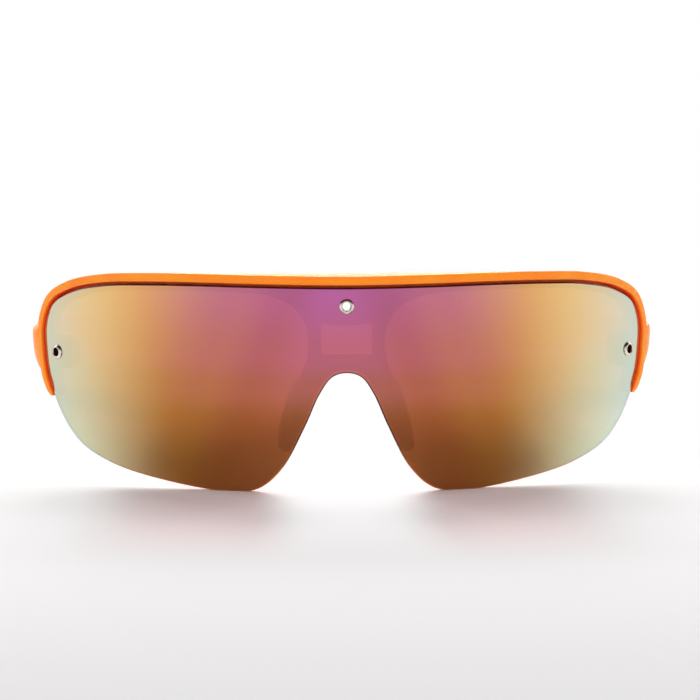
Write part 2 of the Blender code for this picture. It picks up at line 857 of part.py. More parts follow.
def temple():
    """The left temple in its hinge's frame: straight, toed in a little, then down and in behind the ear."""
    fall_to_floor = hinge_height()
    leaf_end = KNUCKLE_RADIUS + LEAF_MARGIN + TEMPLE_LEAF_LENGTH
    keys = [Vector((a, f, h, t)) for a, f, h, t in TEMPLE_SHARES]
    guided = [2 * keys[0] - keys[1], *keys, 2 * keys[-1] - keys[-2]]
    rows = spline(guided, TEMPLE_STEPS)
    path = [Vector((BUTT_GAP + a * TEMPLE_LENGTH, -f * fall_to_floor)) for a, f, _, _ in rows]
    loops = []
    for i, (a, _, h, t) in enumerate(rows):
        normal = outward(path, i) if i else Vector((0.0, 1.0))
        past_leaf = max(path[i].x - leaf_end, 0.0)
        late = max(a - EAR_START_SHARE, 0.0) / (1 - EAR_START_SHARE)
        inner = inner_face() - past_leaf * math.tan(TOE_ANGLE) - EAR_TUCK * late**2
        loop = []
        for across, up in ARM_SECTION_SHARES:
            rise = (up - 0.5) * h * ARM_HEIGHT
            spot = path[i] + normal * rise
            loop.append(Vector((inner + across * t * ARM_THICKNESS, spot.x, spot.y)))
        loops.append(loop)
    return meet_floor(loft(loops))


def meet_floor(solid):
    """The temple with its ear end bent until the foot reaches the floor, and the foot cut flat."""
    floor = -hinge_height()
    lowest = min(solid.verts, key=lambda v: v.co.z).co.copy()
    start = EAR_START_SHARE * TEMPLE_LENGTH
    shift = floor - FOOT_FLAT - lowest.z
    for vert in solid.verts:
        share = max(vert.co.y - start, 0.0) / (lowest.y - start)
        vert.co.z += shift * share**2
    bmesh.ops.triangulate(solid, faces=solid.faces)
    low = (-TEMPLE_LENGTH, start, floor - ARM_HEIGHT)
    high = (TEMPLE_LENGTH, 2 * TEMPLE_LENGTH, floor)
    return carved(solid, block(low, high))


# Nose pads


def nose_pad(flip, parent):
    """A soft blade behind a nose leg, splayed to the nose's side, with the peg that holds it."""
    top, foot = pad_line()
    down = foot - top
    length = down.length
    down.normalize()
    side = Vector((-down.y, down.x))
    side = side if side.x > 0 else -side
    base = seat_back() + PART_GAP
    loops = []
    for along, depth, thickness in PAD_STATION_SHARES:
        middle = top + down * (along * length)
        loop = []
        for back, across in PAD_SECTION_SHARES:
            behind = back * depth * PAD_DEPTH
            out = across * thickness * PAD_THICKNESS + behind * math.tan(PAD_SPLAY)
            spot = middle + side * out
            loop.append(on_wrap(spot.x, spot.y, base + behind))
        loops.append(loop)
    solid = loft(loops)
    peg = rod(PEG_RADIUS, base - PEG_SINK - PART_GAP, base + CUT_OVERRUN, PEG_SIDES)
    solid = joined(solid, placed(peg, peg_matrix()))
    name = "nose_pad_right" if flip else "nose_pad_left"
    return piece(name, mirrored(solid) if flip else solid, RUBBER, parent)


# Assembly


def hinge_side(side, root):
    """One hinge with its temple; the turning pieces hang on an empty that stands on the axis."""
    flip = side == "right"
    axis = hinge_axis()
    pivot = empty("fold_axis_" + side, (-axis.x if flip else axis.x, axis.y, axis.z), root)

    def add(name, solid, finish):
        return piece(name + "_" + side, mirrored(solid) if flip else solid, finish, pivot)

    frame_spots = leaf_screw_spots(-1, FRAME_LEAF_LENGTH)
    temple_spots = leaf_screw_spots(1, TEMPLE_LEAF_LENGTH)
    add("temple", carved(temple(), *screw_bores(temple_spots)), ORANGE)
    add("frame_leaf", leaf((-1, 1), -1, FRAME_LEAF_LENGTH), STEEL)
    add("temple_leaf", leaf((0,), 1, TEMPLE_LEAF_LENGTH), STEEL)
    add("hinge_screw", hinge_screw(), STEEL)
    for owner, spots in (("frame", frame_spots), ("temple", temple_spots)):
        for level, along, up in spots:
            add(f"{owner}_leaf_screw_{level}", placed(leaf_screw(), leaf_screw_matrix(along, up)), STEEL)


def centre_in_depth(root):
    """Moves the assembly so that the origin lies midway between its front and its back."""
    bpy.context.view_layer.update()
    depths = []
    for made in bpy.context.scene.objects:
        if made.type == "MESH":
            depths += [(made.matrix_world @ vert.co).y for vert in made.data.vertices]
    root.location.y = -(min(depths) + max(depths)) / 2


def build():
    """Builds the sunglasses."""
    clear_scene()
    root = empty("sunglasses", (0.0, 0.0, 0.0))
    frame_front(root)
    lens(root)
    for side, place in eyelet_places().items():
        eyelet(side, place, root)
        washer(side, place, root)
    for flip in (False, True):
        nose_pad(flip, root)
    for side in ("left", "right"):
        hinge_side(side, root)
    centre_in_depth(root)


build()
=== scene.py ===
import json
import math

import bmesh
import bpy
from bpy.props import FloatProperty, FloatVectorProperty, IntProperty, PointerProperty
from mathutils import Matrix, Vector


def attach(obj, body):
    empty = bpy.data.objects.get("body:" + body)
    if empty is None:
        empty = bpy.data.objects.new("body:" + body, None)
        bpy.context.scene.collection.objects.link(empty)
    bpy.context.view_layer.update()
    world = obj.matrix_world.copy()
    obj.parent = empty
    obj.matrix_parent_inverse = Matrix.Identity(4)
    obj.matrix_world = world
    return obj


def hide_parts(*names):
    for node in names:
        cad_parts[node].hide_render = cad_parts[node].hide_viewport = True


bl_info = {
    "name": "Wraparound Sunglasses",
    "version": (1, 0, 0),
    "blender": (4, 5, 0),
    "location": "3D View > Sidebar > Sunglasses",
    "description": "Builds the visible pieces of the wraparound sunglasses round their solids",
    "category": "Add Mesh",
}

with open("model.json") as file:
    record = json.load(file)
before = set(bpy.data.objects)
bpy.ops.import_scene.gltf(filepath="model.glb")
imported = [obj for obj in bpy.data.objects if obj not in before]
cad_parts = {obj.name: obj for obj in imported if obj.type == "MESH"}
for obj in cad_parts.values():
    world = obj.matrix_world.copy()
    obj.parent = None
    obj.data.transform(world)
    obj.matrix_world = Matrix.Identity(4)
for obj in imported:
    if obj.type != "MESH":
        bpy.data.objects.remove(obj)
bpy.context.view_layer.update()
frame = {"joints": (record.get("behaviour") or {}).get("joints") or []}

MM = 0.001
WHITE = (1.0, 1.0, 1.0)

# Fits between neighbouring pieces
PART_GAP = 0.3 * MM
FIT_GAP = 0.1 * MM
RUNNING_GAP = 0.05 * MM
CUT_OVERRUN = 1.0 * MM

# Fineness: steps of curves and rounds, angles that count as square, flat or creased, and the mitres' limit
OUTLINE_STEPS = 12
WINDOW_STEPS = 10
WINDOW_ROUND_STEPS = 4
EDGE_STEPS = 3
SECTION_STEPS = 3
END_PIECE_STEPS = 5
TEMPLE_STEPS = 8
PAD_STEPS = 5
PAD_SECTION_STEPS = 4
PEG_SIDES = 32
SOFT_STEPS = 2
SQUARE_ANGLE = math.radians(50.0)
FLAT_ANGLE = math.radians(1.0)
CREASE_ANGLE = math.radians(40.0)
SOFT_CREASE_ANGLE = math.radians(60.0)
MITRE_LIMIT = 0.5

# The curved face that the lens and the front follow
WRAP_RADIUS = 93.0 * MM
FACE_RADIUS = 150.0 * MM
FACE_TILT = math.radians(6.0)

# Lens: half of its flat outline, from the top centre round the side to the top of the nose notch
LENS_HALF_ARC = 81.0 * MM
LENS_HEIGHT = 48.1 * MM
LENS_THICKNESS = 1.8 * MM
LENS_FLAT = 0.15 * MM
LENS_OUTLINE_SHARES = (
    (0.0, 0.991), (0.23, 0.995), (0.432, 0.999), (0.60, 0.996), (0.74, 0.984), (0.877, 0.942),
    (0.963, 0.872), (0.998, 0.768), (0.998, 0.650), (0.983, 0.521), (0.934, 0.350), (0.852, 0.204),
    (0.728, 0.110), (0.543, 0.041), (0.333, 0.0), (0.2506, 0.021), (0.185, 0.121), (0.1185, 0.331),
    (0.0765, 0.4875), (0.0407, 0.569), (0.0, 0.5885),
)
SIDE_KEY = 9

# Mirror coat: where its colours lie, out from the middle and down from the top, and how they lean; down the
# lens the falls make the coat darker and yellower, partly the coat's own change and partly painted shade of
# its dark reflection there
COAT_PLACES = (0.000, 0.150, 0.300, 0.835)
FALL_PLACES = (0.000, 0.333, 0.483, 0.650, 0.887)
COAT_LEAN = -0.259
SILVER_LEAN = 0.108
SILVER_SPAN = (0.576, 1.337)

# Rim: the wall that stands round the lens's top and sides
RIM_TOP_WALL = 2.0 * MM
RIM_SIDE_WALL = 1.4 * MM
RIM_PROUD = 1.0 * MM
RIM_BACK = 5.0 * MM
RIM_FALL = 0.4 * MM
SHELF_RISE = 0.25 * MM
RIM_TOP_GAP = 0.72 * MM
BROW_DEPTH = 9.0 * MM
BROW_HALF_ARC = 46.0 * MM
BROW_EASE = 1.5
RIM_TIP_REACH = 5.0 * MM
WALL_ROUND_SHARE = 0.9

# How far along the rim's tip each station is, and how large
RIM_TIP_SHARES = (
    (0.2, 1.0), (0.4, 0.975), (0.62, 0.90), (0.75, 0.80), (0.86, 0.66), (0.94, 0.50), (1.0, 0.34),
)

# Where the mould line's points lie across the rim's outer wall, and how far they stand out
MOULD_LINE_SHARES = ((0.44, 0.0), (0.455, 1.0), (0.47, 0.0))

# How much painted red shade each row of the rim's inner lip gets, at the sides and along the top; it stands
# in for the shade in the gap by the lens, reddened by light bounced among the orange walls
LIP_SHADE = "lip_shade"
LIP_SHADE_SHARES = ((0.3, 1.0), (0.0, 0.9), (0.0, 0.5), (0.0, 0.15), (0.0, 0.0))
LIP_SHADE_EASE = 8

# Seat: the plate behind the lens, with the bridge and the nose legs
SEAT_THICKNESS = 2.0 * MM
LEDGE_WIDTH = 1.4 * MM
NOSE_COVER = 0.7 * MM
BRIDGE_SHARES = (
    (0.333, 0.966), (0.222, 0.947), (0.152, 0.894), (0.120, 0.816), (0.110, 0.733), (0.115, 0.656),
    (0.1345, 0.560), (0.165, 0.400), (0.194, 0.262), (0.197, 0.222), (0.180, 0.200),
)
WINDOW_WIDTH = 11.8 * MM
WINDOW_HEIGHT = 7.4 * MM
WINDOW_SAG = 0.7 * MM
WINDOW_LOWER_SAG = 0.35 * MM
WINDOW_ROUND = 0.54 * MM
WINDOW_CENTRE_SHARE = 0.746

# Rivets
RIVET_BORE = 1.0 * MM
RIVET_BARREL = 1.25 * MM
RIVET_FLANGE = 1.72 * MM
FLANGE_THICKNESS = 0.45 * MM
# How far round the bore the painted shade inside a rivet reaches
BORE_SHADE_MARGIN = 0.06 * MM
CENTRE_RIVET_SHARE = 0.903
SIDE_RIVET_EDGE = 4.7 * MM
BOSS_RADIUS = 4.2 * MM
BOSS_RISE = 0.5 * MM
WASHER_RADIUS = 2.4 * MM
WASHER_THICKNESS = 0.4 * MM

# Domed flange and rolled end: distance out from the bore, and depth from their tops
DOME_SHARES = (
    (0.0, 0.90), (0.03, 0.50), (0.08, 0.20), (0.15, 0.04), (0.22, 0.0), (0.36, 0.05), (0.52, 0.17),
    (0.68, 0.34), (0.82, 0.54), (0.93, 0.74), (1.0, 0.92),
)
ROLL_SHARES = (
    (1.0, 0.75), (0.96, 0.44), (0.84, 0.17), (0.66, 0.02), (0.45, 0.0), (0.22, 0.08), (0.06, 0.30),
    (0.0, 0.6),
)

# Hinges
HINGE_HEIGHT_SHARE = 0.6375
KNUCKLE_RADIUS = 1.3 * MM
KNUCKLE_HEIGHT = 2.2 * MM
KNUCKLE_GAP = 0.2 * MM
PIN_RADIUS = 0.7 * MM
PIN_HEAD_RADIUS = 1.2 * MM
PIN_HEAD_HEIGHT = 0.6 * MM
PIN_TIP_RADIUS = 0.5 * MM
PIN_TIP_LENGTH = 0.3 * MM
LEAF_THICKNESS = 0.9 * MM
LEAF_MARGIN = 0.25 * MM
FRAME_LEAF_LENGTH = 4.6 * MM
TEMPLE_LEAF_LENGTH = 8.0 * MM
WEB_INSET = 0.06 * MM
SCREW_RADIUS = 0.5 * MM
SCREW_HEAD_RADIUS = 0.9 * MM
SCREW_HEAD_DEPTH = 0.45 * MM
SCREW_LENGTH = 2.6 * MM
SCREW_TIP_RADIUS = 0.2 * MM
SCREW_TIP_LENGTH = 0.5 * MM
SCREW_SPREAD = 4.2 * MM
SLOT_WIDTH = 0.3 * MM
SLOT_DEPTH = 0.2 * MM

# Dome of the hinge screw's head: distance out, and height
PIN_DOME_SHARES = ((1.0, 0.45), (0.96, 0.72), (0.86, 0.89), (0.7, 0.97), (0.4, 1.0))

# End pieces and temples
END_PIECE_LENGTH = 7.6 * MM
BUTT_GAP = 0.15 * MM
ARM_HEIGHT = 11.3 * MM
ARM_THICKNESS = 5.2 * MM
AXIS_INSET = 0.1 * MM
TEMPLE_LENGTH = 118.0 * MM
TOE_ANGLE = math.radians(3.0)
EAR_TUCK = 4.0 * MM
EAR_START_SHARE = 0.66
FOOT_FLAT = 0.4 * MM

# Section of an arm: distance out from its inner face, and height
ARM_SECTION_SHARES = (
    (0.0, 0.12), (0.0, 0.50), (0.0, 0.88), (0.03, 0.965), (0.12, 1.0), (0.45, 1.0), (0.78, 0.99),
    (0.94, 0.94), (1.0, 0.85), (0.985, 0.66), (0.945, 0.46), (0.865, 0.27), (0.74, 0.11),
    (0.56, 0.015), (0.36, 0.0), (0.12, 0.0), (0.03, 0.035),
)

# End piece: distance forward, inner face, outer face, height, and how far it follows the lens's lean
END_PIECE_SHARES = (
    (0.0, 0.0, 1.0, 1.0, 0.0), (0.26, 0.0, 1.0, 1.0, 0.1), (0.50, 0.0, 0.985, 1.0, 0.3),
    (0.74, 0.0, 0.93, 0.995, 0.6), (1.12, -0.06, 0.74, 0.97, 1.0), (1.40, 0.06, 0.38, 0.92, 1.0),
)

# Temple: distance rearward, fall, height and thickness
TEMPLE_SHARES = (
    (0.0, 0.0, 1.0, 1.0), (0.06, 0.0, 1.0, 0.99), (0.13, -0.006, 0.965, 0.93),
    (0.22, -0.014, 0.88, 0.84), (0.34, -0.012, 0.775, 0.755), (0.47, 0.006, 0.70, 0.70),
    (0.58, 0.042, 0.665, 0.665), (0.68, 0.115, 0.655, 0.65), (0.76, 0.235, 0.66, 0.645),
    (0.83, 0.395, 0.68, 0.65), (0.90, 0.595, 0.71, 0.66), (0.955, 0.765, 0.71, 0.645),
    (0.985, 0.862, 0.61, 0.56), (1.0, 0.912, 0.36, 0.36),
)

# Rounded end of an arm: distance from its end, and how far it is drawn in
END_ROUND_SHARES = ((0.0, 1.0), (0.12, 0.5), (0.4, 0.15), (1.0, 0.0))

# Nose pads
PAD_TOP_SHARES = (0.122, 0.520)
PAD_FOOT_SHARES = (0.183, 0.232)
PAD_DEPTH = 8.2 * MM
PAD_THICKNESS = 2.8 * MM
PAD_SPLAY = math.radians(24.0)
PEG_RADIUS = 0.9 * MM
PEG_SHARE = 0.42
PEG_SINK = 1.2 * MM

# Nose pad's stations: distance down, depth and thickness
PAD_STATION_SHARES = (
    (-0.10, 0.30, 0.42), (-0.04, 0.52, 0.72), (0.06, 0.76, 0.92), (0.20, 0.94, 1.0),
    (0.40, 1.0, 1.0), (0.60, 0.99, 1.0), (0.80, 0.90, 1.0), (0.94, 0.74, 0.92), (1.04, 0.50, 0.72),
    (1.10, 0.28, 0.42),
)

# Nose pad's section: distance back, and across
PAD_SECTION_SHARES = (
    (0.0, -0.36), (0.0, 0.36), (0.10, 0.49), (0.30, 0.50), (0.55, 0.43), (0.78, 0.36), (0.93, 0.24),
    (1.0, 0.0), (0.93, -0.26), (0.78, -0.40), (0.55, -0.48), (0.30, -0.52), (0.10, -0.49),
)

# Patterns: size of the lumps, detail, roughness, noise where they start and where they are full, how full
CLOUDS = (14 * MM, 3.0, 0.5, 0.35, 0.65, 1.0)
RUBBED = (2.6 * MM, 4.0, 0.6, 0.55, 0.72, 1.0)
SMEARS = (9 * MM, 5.0, 0.65, 0.45, 0.75, 1.0)
DUST = (0.5 * MM, 2.0, 0.5, 0.62, 0.74, 1.0)
DULLED = (0.9 * MM, 4.0, 0.6, 0.5, 0.8, 0.5)
BLOOM = (2.2 * MM, 4.0, 0.6, 0.5, 0.8, 0.6)

# Fine marks: size of the lumps, detail
BACK_MARKS = (6 * MM, 4.0)
SAW_MARKS = (0.4 * MM, 3.0)
TURNING_MARKS = (0.08 * MM, 2.0)
SKIN_MARKS = (0.16 * MM, 2.0)
TURNING_DEPTH = 0.004 * MM
SKIN_DEPTH = 0.01 * MM

# Roughness: what a finish starts from where it is no setting, and what each pattern adds to it
BACK_ROUGHNESS = 0.07
EDGE_ROUGHNESS = 0.42
BORE_ROUGHNESS = 0.45
FLOOR_ROUGHNESS = 0.9
RUBBED_CHANGE = -0.07
GRAIN_CHANGE = 0.05
SMEARS_CHANGE = 0.035
DUST_CHANGE = 0.05
BACK_CHANGE = 0.08
SAW_CHANGE = 0.12
DULLED_CHANGE = 0.2
TURNING_CHANGE = 0.08
BLOOM_CHANGE = 0.12

# What stays the same all over each finish
NYLON = {"IOR": 1.53, "Specular IOR Level": 0.4, "Subsurface Weight": 0.3, "Subsurface Scale": 2.0 * MM}
LENS_BODY = {"Transmission Weight": 1.0, "IOR": 1.58}
LENS_BACK = {**LENS_BODY, "Metallic": 0.3}
LENS_EDGE = {"Specular IOR Level": 0.05}
METAL = {"Metallic": 1.0}
RUBBER = {"Sheen Weight": 0.15, "Sheen Roughness": 0.5}
FLOOR = {"Specular IOR Level": 0.0}

# Lens: what dims the body's smears, and where the cut edge turns from the painted amber glow of light
# through the body to plum and to lilac
SMEAR_SHADE = 0.8
AMBER_GLOW_SPAN = (3 * MM, 14 * MM)
LILAC_SPAN = (50 * MM, 66 * MM)

# Floor: where each run starts and ends, in metres, and its value at both; first in depth, then sideways. The
# brightened and dimmed runs paint shade for the lamps' falloff, the shadow runs place the painted warm
# shadow tint, and the lifted runs place painted light that lifts the glasses' shadow
FLOOR_DEPTH_RUNS = {
    "brightened": (-0.34, -0.06, 0.0, 1.0),
    "shadow_begun": (-0.18, -0.12, 0.0, 1.0),
    "shadow_ended": (-0.08, -0.06, 1.0, 0.0),
    "lifted": (-0.17, -0.11, 0.0, 1.0),
    "behind": (-0.068, -0.028, 0.0, 1.0),
    "before": (-0.80, -0.55, 1.0, 0.0),
}
FLOOR_SIDE_RUNS = {
    "dimmed": (0.055, 0.085, 1.0, 0.85),
    "shadow_within": (0.035, 0.065, 1.0, 0.0),
    "shadow_beyond": (0.008, 0.024, 0.0, 1.0),
    "lifted_outside": (0.045, 0.065, 0.0, 0.45),
    "lifted_inside": (0.008, 0.022, 0.55, 0.0),
    "beside": (0.11, 0.24, 0.0, 1.0),
}
FLOOR_FAR_RUN = (0.085, 0.16, 0.0, 1.0)
FLOOR_REACH = 3.0
FLOOR_DROP = 0.02 * MM
CEILING_SPAN = (0.12, 0.5)

# Camera: the photograph's angle, distance and framing
PHOTO_WIDTH = 700
CAMERA_AZIMUTH = math.radians(-1.574)
CAMERA_ELEVATION = math.radians(6.0)
CAMERA_ROLL = math.radians(-0.161)
CAMERA_DISTANCE = 0.650
CAMERA_CLIP = 0.01
CAMERA_TARGET = (1.264 * MM, 20.0 * MM, 24.5 * MM)
CAMERA_DATUM_HEIGHT = 27.5 * MM
FOCAL_PIXELS = 2764.4
SENSOR_WIDTH = 36.0
SHIFT_PIXELS = 30

# Lamps: name, power and share of it, azimuth, elevation, distance, width, height, if it lights, if it shows
LAMP_AIM = (0.0, -50.0 * MM, 20.0 * MM)
LAMPS = (
    ("mid_back_lamp", "back_lamp", 0.70, 0.0, 22.0, 0.9, 0.40, 0.32, True, False),
    ("high_back_lamp", "back_lamp", 0.30, 0.0, 42.0, 0.9, 0.40, 0.50, True, False),
    ("sheen_lamp", "sheen_lamp", 1.0, 0.0, 9.0, 0.9, 0.40, 0.16, False, True),
    ("left_back_lamp", "side_lamp", 0.65, 35.0, 32.0, 0.9, 0.30, 0.70, True, True),
    ("right_back_lamp", "side_lamp", 0.65, -35.0, 32.0, 0.9, 0.30, 0.70, True, True),
    ("left_lamp", "side_lamp", 0.35, 70.0, 32.0, 0.9, 0.30, 0.70, True, True),
    ("right_lamp", "side_lamp", 0.35, -70.0, 32.0, 0.9, 0.30, 0.70, True, True),
    ("front_lamp", "front_lamp", 1.0, 180.0, 24.0, 1.2, 2.40, 0.30, True, False),
)

SIDES = ("left", "right")


def from_screen(red, green, blue):
    """A colour given as screen values from 0 to 255, as the shaders count it."""
    shares = [value / 255 for value in (red, green, blue)]
    return [v / 12.92 if v <= 0.04045 else ((v + 0.055) / 1.055) ** 2.4 for v in shares]


# What a user would change


def length(name, description, default, lowest=0.0):
    """A length in metres."""
    return FloatProperty(
        name=name,
        description=description,
        default=default,
        min=lowest,
        subtype="DISTANCE",
        unit="LENGTH",
        precision=6,
    )


def share(name, description, default):
    """A share from 0 to 1."""
    return FloatProperty(
        name=name, description=description, default=default, min=0.0, max=1.0, subtype="FACTOR"
    )


def power(name, description, default):
    """A lamp's power in watts."""
    return FloatProperty(name=name, description=description, default=default, min=0.0, unit="POWER")


def colour(name, description, red, green, blue):
    """A colour, given as screen values."""
    tone = from_screen(red, green, blue)
    return FloatVectorProperty(
        name=name, description=description, default=tone, min=0.0, max=1.0, subtype="COLOR"
    )


class LensSettings(bpy.types.PropertyGroup):
    """The shield lens and its mirror coat."""

    edge_round: length("Edge rounding", "Radius of the polished edge", 0.22 * MM)
    facet: length("Facet", "Width of the flat strips that the curve is built from", 1.5 * MM)
    coat_centre: colour("Coat, centre", "Mirror coat at the top centre", 197, 106, 171)
    coat_inner: colour("Coat, inner", "Mirror coat beside the nose", 188, 100, 145)
    coat_middle: colour("Coat, middle", "Mirror coat before the eyes", 196, 115, 141)
    coat_outer: colour("Coat, outer", "Mirror coat near the sides", 246, 195, 87)
    coat_side: colour("Coat, sides", "Pale silvery coat at the very sides", 207, 246, 255)
    # The falls: darker and yellower towards the bottom, partly the coat's own change and partly painted
    # shade of its dark reflection
    fall_upper: colour("Fall, upper", "What dims the coat at the height of the bridge", 251, 253, 191)
    fall_middle: colour("Fall, middle", "What dims the coat at the top of the notch", 240, 251, 142)
    fall_lower: colour("Fall, lower", "What dims the coat half way down the nose", 217, 238, 88)
    fall_foot: colour("Fall, foot", "What dims the coat at the bottom", 208, 255, 88)
    coat_shift: length("Coat shift", "Middle of the coat's colours", -2.31 * MM, -LENS_HALF_ARC)
    mirror: share("Mirror", "Share of the light that the coat sends back", 0.82)
    gloss: share("Roughness", "Roughness of the coat", 0.10)
    edge_plum: colour("Edge, nose", "Cut edge round the nose", 62, 20, 28)
    # Painted light: the amber stands in for light glowing through the lens's body at its foot
    edge_amber_glow: colour("Edge, foot", "Cut edge along the bottom", 178, 98, 46)
    edge_lilac: colour("Edge, sides", "Cut edge at the sides", 166, 158, 182)
    body_tint: colour("Body tint", "Brown of the lens's body, seen from behind", 200, 92, 50)


class MouldingSettings(bpy.types.PropertyGroup):
    """The orange front and temples."""

    orange: colour("Orange", "Colour of the moulded nylon", 255, 150, 24)
    deep_orange: colour("Deep orange", "Colour where the pigment lies a little thicker", 255, 140, 18)
    # Painted shade: a darker red-orange for the rim's inner lip, standing in for its shade and the light
    # bounced among the orange walls
    lip_shade_orange: colour("Lip orange", "Red-orange of the rim's inner lip", 255, 62, 6)
    roughness: share("Roughness", "Roughness of the satin surface", 0.42)
    edge_round: length("Edge rounding", "Radius of the moulding's edges", 0.30 * MM)
    grain: length("Grain", "Size of the mould's fine texture", 0.22 * MM)
    grain_height: length("Grain height", "Height of the mould's fine texture", 0.008 * MM)
    mould_line: length("Mould line", "Height of the line where the mould's halves met", 0.035 * MM)


class MetalSettings(bpy.types.PropertyGroup):
    """The rivets, washers, hinges and screws."""

    bright: colour("Bright metal", "Colour of the plated steel", 226, 219, 205)
    tarnish: colour("Tarnish", "Colour where the metal has dulled", 150, 134, 112)
    # Painted shade: the bore colours darken the inside of a rivet as its shade and dark reflections would
    bore: colour("Bore", "Colour of the browned inside of a rivet", 122, 84, 52)
    bore_deep_shade: colour("Deep bore", "Darker patches inside a rivet", 58, 38, 28)
    roughness: share("Roughness", "Roughness of the plated steel", 0.2)
    sides: IntProperty(name="Sides", description="Sides of a round piece", default=64, min=16, max=128)
    edge_round: length("Edge rounding", "Radius of the deburred edges", 0.06 * MM)


class RubberSettings(bpy.types.PropertyGroup):
    """The nose pads."""

    colour: colour("Rubber", "Colour of the soft rubber", 58, 55, 56)
    bloom: colour("Bloom", "Colour of the pale film on old rubber", 98, 93, 91)
    roughness: share("Roughness", "Roughness of the soft rubber", 0.62)


class StageSettings(bpy.types.PropertyGroup):
    """The floor, the lamps and the white surround."""

    # Painted shade: the floor's colour darkens from near floor at the glasses to floor well in front,
    # standing in for the lamps' falloff
    floor: colour("Floor", "Colour of the pale floor well in front of the glasses", 216, 214, 215)
    near_floor: colour("Near floor", "Colour of the pale floor at the glasses", 242, 241, 241)
    # Painted shadow: a pinker, darker floor where light through the lens tints the glasses' shadow
    warm_shadow_tint: colour("Warm floor", "Colour of the floor where the lens's shadow falls", 238, 222, 222)
    sky: share("Surround", "Strength of the white surround", 0.22)
    ceiling: share("Ceiling", "Strength of the surround overhead in reflections", 0.03)
    back_lamp: power("Back lamps", "Power of the lamps behind the glasses, together", 9.8)
    sheen_lamp: power("Sheen lamp", "Power of the low lamp that only shows as a sheen", 1.8)
    side_lamp: power("Side lamps", "Power of the two lamps of one side, together", 4.1)
    front_lamp: power("Front lamp", "Power of the wide lamp behind the camera", 11.0)


# Solids


def add_band(solid, first, second, mark=0):
    """Faces between two closed rows of points, marked for their finish."""
    for i in range(len(first)):
        j = (i + 1) % len(first)
        solid.faces.new((first[i], first[j], second[j], second[i])).material_index = mark


def loft(loops, ring=False):
    """A closed solid through loops of equal length, either capped at both ends or joined into a ring."""
    solid = bmesh.new()
    rows = [[solid.verts.new(point) for point in loop] for loop in loops]
    pairs = list(zip(rows, rows[1:]))
    if ring:
        pairs.append((rows[-1], rows[0]))
    for first, second in pairs:
        add_band(solid, first, second)
    if not ring:
        solid.faces.new(rows[0])
        solid.faces.new(rows[-1])
    bmesh.ops.recalc_face_normals(solid, faces=solid.faces)
    return solid


def circle(radius, height, sides):
    """Points of a level circle about the Z axis."""
    turns = [math.tau * i / sides for i in range(sides)]
    return [Vector((radius * math.cos(a), radius * math.sin(a), height)) for a in turns]


def turned(profile, sides, ring=False):
    """A solid turned about Z from (radius, height) points."""
    return loft([circle(radius, height, sides) for radius, height in profile], ring)


def rod(radius, bottom, top, sides):
    """An upright cylinder."""
    return turned(((radius, bottom), (radius, top)), sides)


def block(low, high):
    """A box between two corners."""
    corners = ((low[0], low[1]), (high[0], low[1]), (high[0], high[1]), (low[0], high[1]))
    return loft([[Vector((x, y, z)) for x, y in corners] for z in (low[2], high[2])])


def placed(solid, matrix):
    """The solid moved by a matrix."""
    bmesh.ops.transform(solid, matrix=matrix, verts=solid.verts)
    return solid


def mirrored(solid):
    """The solid's mirror image across the YZ plane."""
    for vert in solid.verts:
        vert.co.x = -vert.co.x
    bmesh.ops.reverse_faces(solid, faces=solid.faces)
    return solid


def on_side(solid, side):
    """The solid of the left side, mirrored when the right one is asked for."""
    return mirrored(solid) if side == "right" else solid


def linked(name, data):
    """A new object in the scene that holds a mesh, a lamp or a camera."""
    made = bpy.data.objects.new(name, data)
    bpy.context.scene.collection.objects.link(made)
    return made


def as_object(name, solid):
    """A new object in the scene with the solid's mesh; the solid itself is freed."""
    mesh = bpy.data.meshes.new(name)
    solid.to_mesh(mesh)
    solid.free()
    return linked(name, mesh)


def combined(solid, tool, operation):
    """The solid with the tool joined to it (UNION) or cut from it (DIFFERENCE)."""
    base = as_object("scratch", solid)
    other = as_object("scratch", tool)
    step = base.modifiers.new("combine", "BOOLEAN")
    step.operation = operation
    step.solver = "EXACT"
    step.object = other
    graph = bpy.context.evaluated_depsgraph_get()
    result = bmesh.new()
    result.from_object(base, graph)
    for used in (base, other):
        mesh = used.data
        bpy.data.objects.remove(used)
        bpy.data.meshes.remove(mesh)
    return result


def joined(solid, *tools):
    """The solid with every tool joined to it."""
    for tool in tools:
        solid = combined(solid, tool, "UNION")
    return solid


def carved(solid, *tools):
    """The solid with every tool cut from it."""
    for tool in tools:
        solid = combined(solid, tool, "DIFFERENCE")
    return solid


def softened(solid, radius):
    """The solid with a small round on every edge that is about square."""
    sharp = [e for e in solid.edges if e.is_manifold and e.calc_face_angle(0.0) > SQUARE_ANGLE]
    bmesh.ops.bevel(
        solid,
        geom=sharp,
        offset=radius,
        offset_type="OFFSET",
        segments=SOFT_STEPS,
        profile=0.5,
        affect="EDGES",
    )
    return solid


def drawn_in(loop, amount):
    """The loop with every point moved towards its middle."""
    middle = sum(loop, Vector((0.0, 0.0, 0.0))) / len(loop)
    return [p - (p - middle).normalized() * amount for p in loop]


def rounded(corners, radius, steps):
    """A closed flat section with its corners rounded."""
    points = []
    befores = corners[-1:] + corners[:-1]
    afters = corners[1:] + corners[:1]
    for before, corner, after in zip(befores, corners, afters):
        start = corner + (before - corner).normalized() * radius
        end = corner + (after - corner).normalized() * radius
        for i in range(steps + 1):
            t = i / steps
            points.append(start.lerp(corner, t).lerp(corner.lerp(end, t), t))
    return points


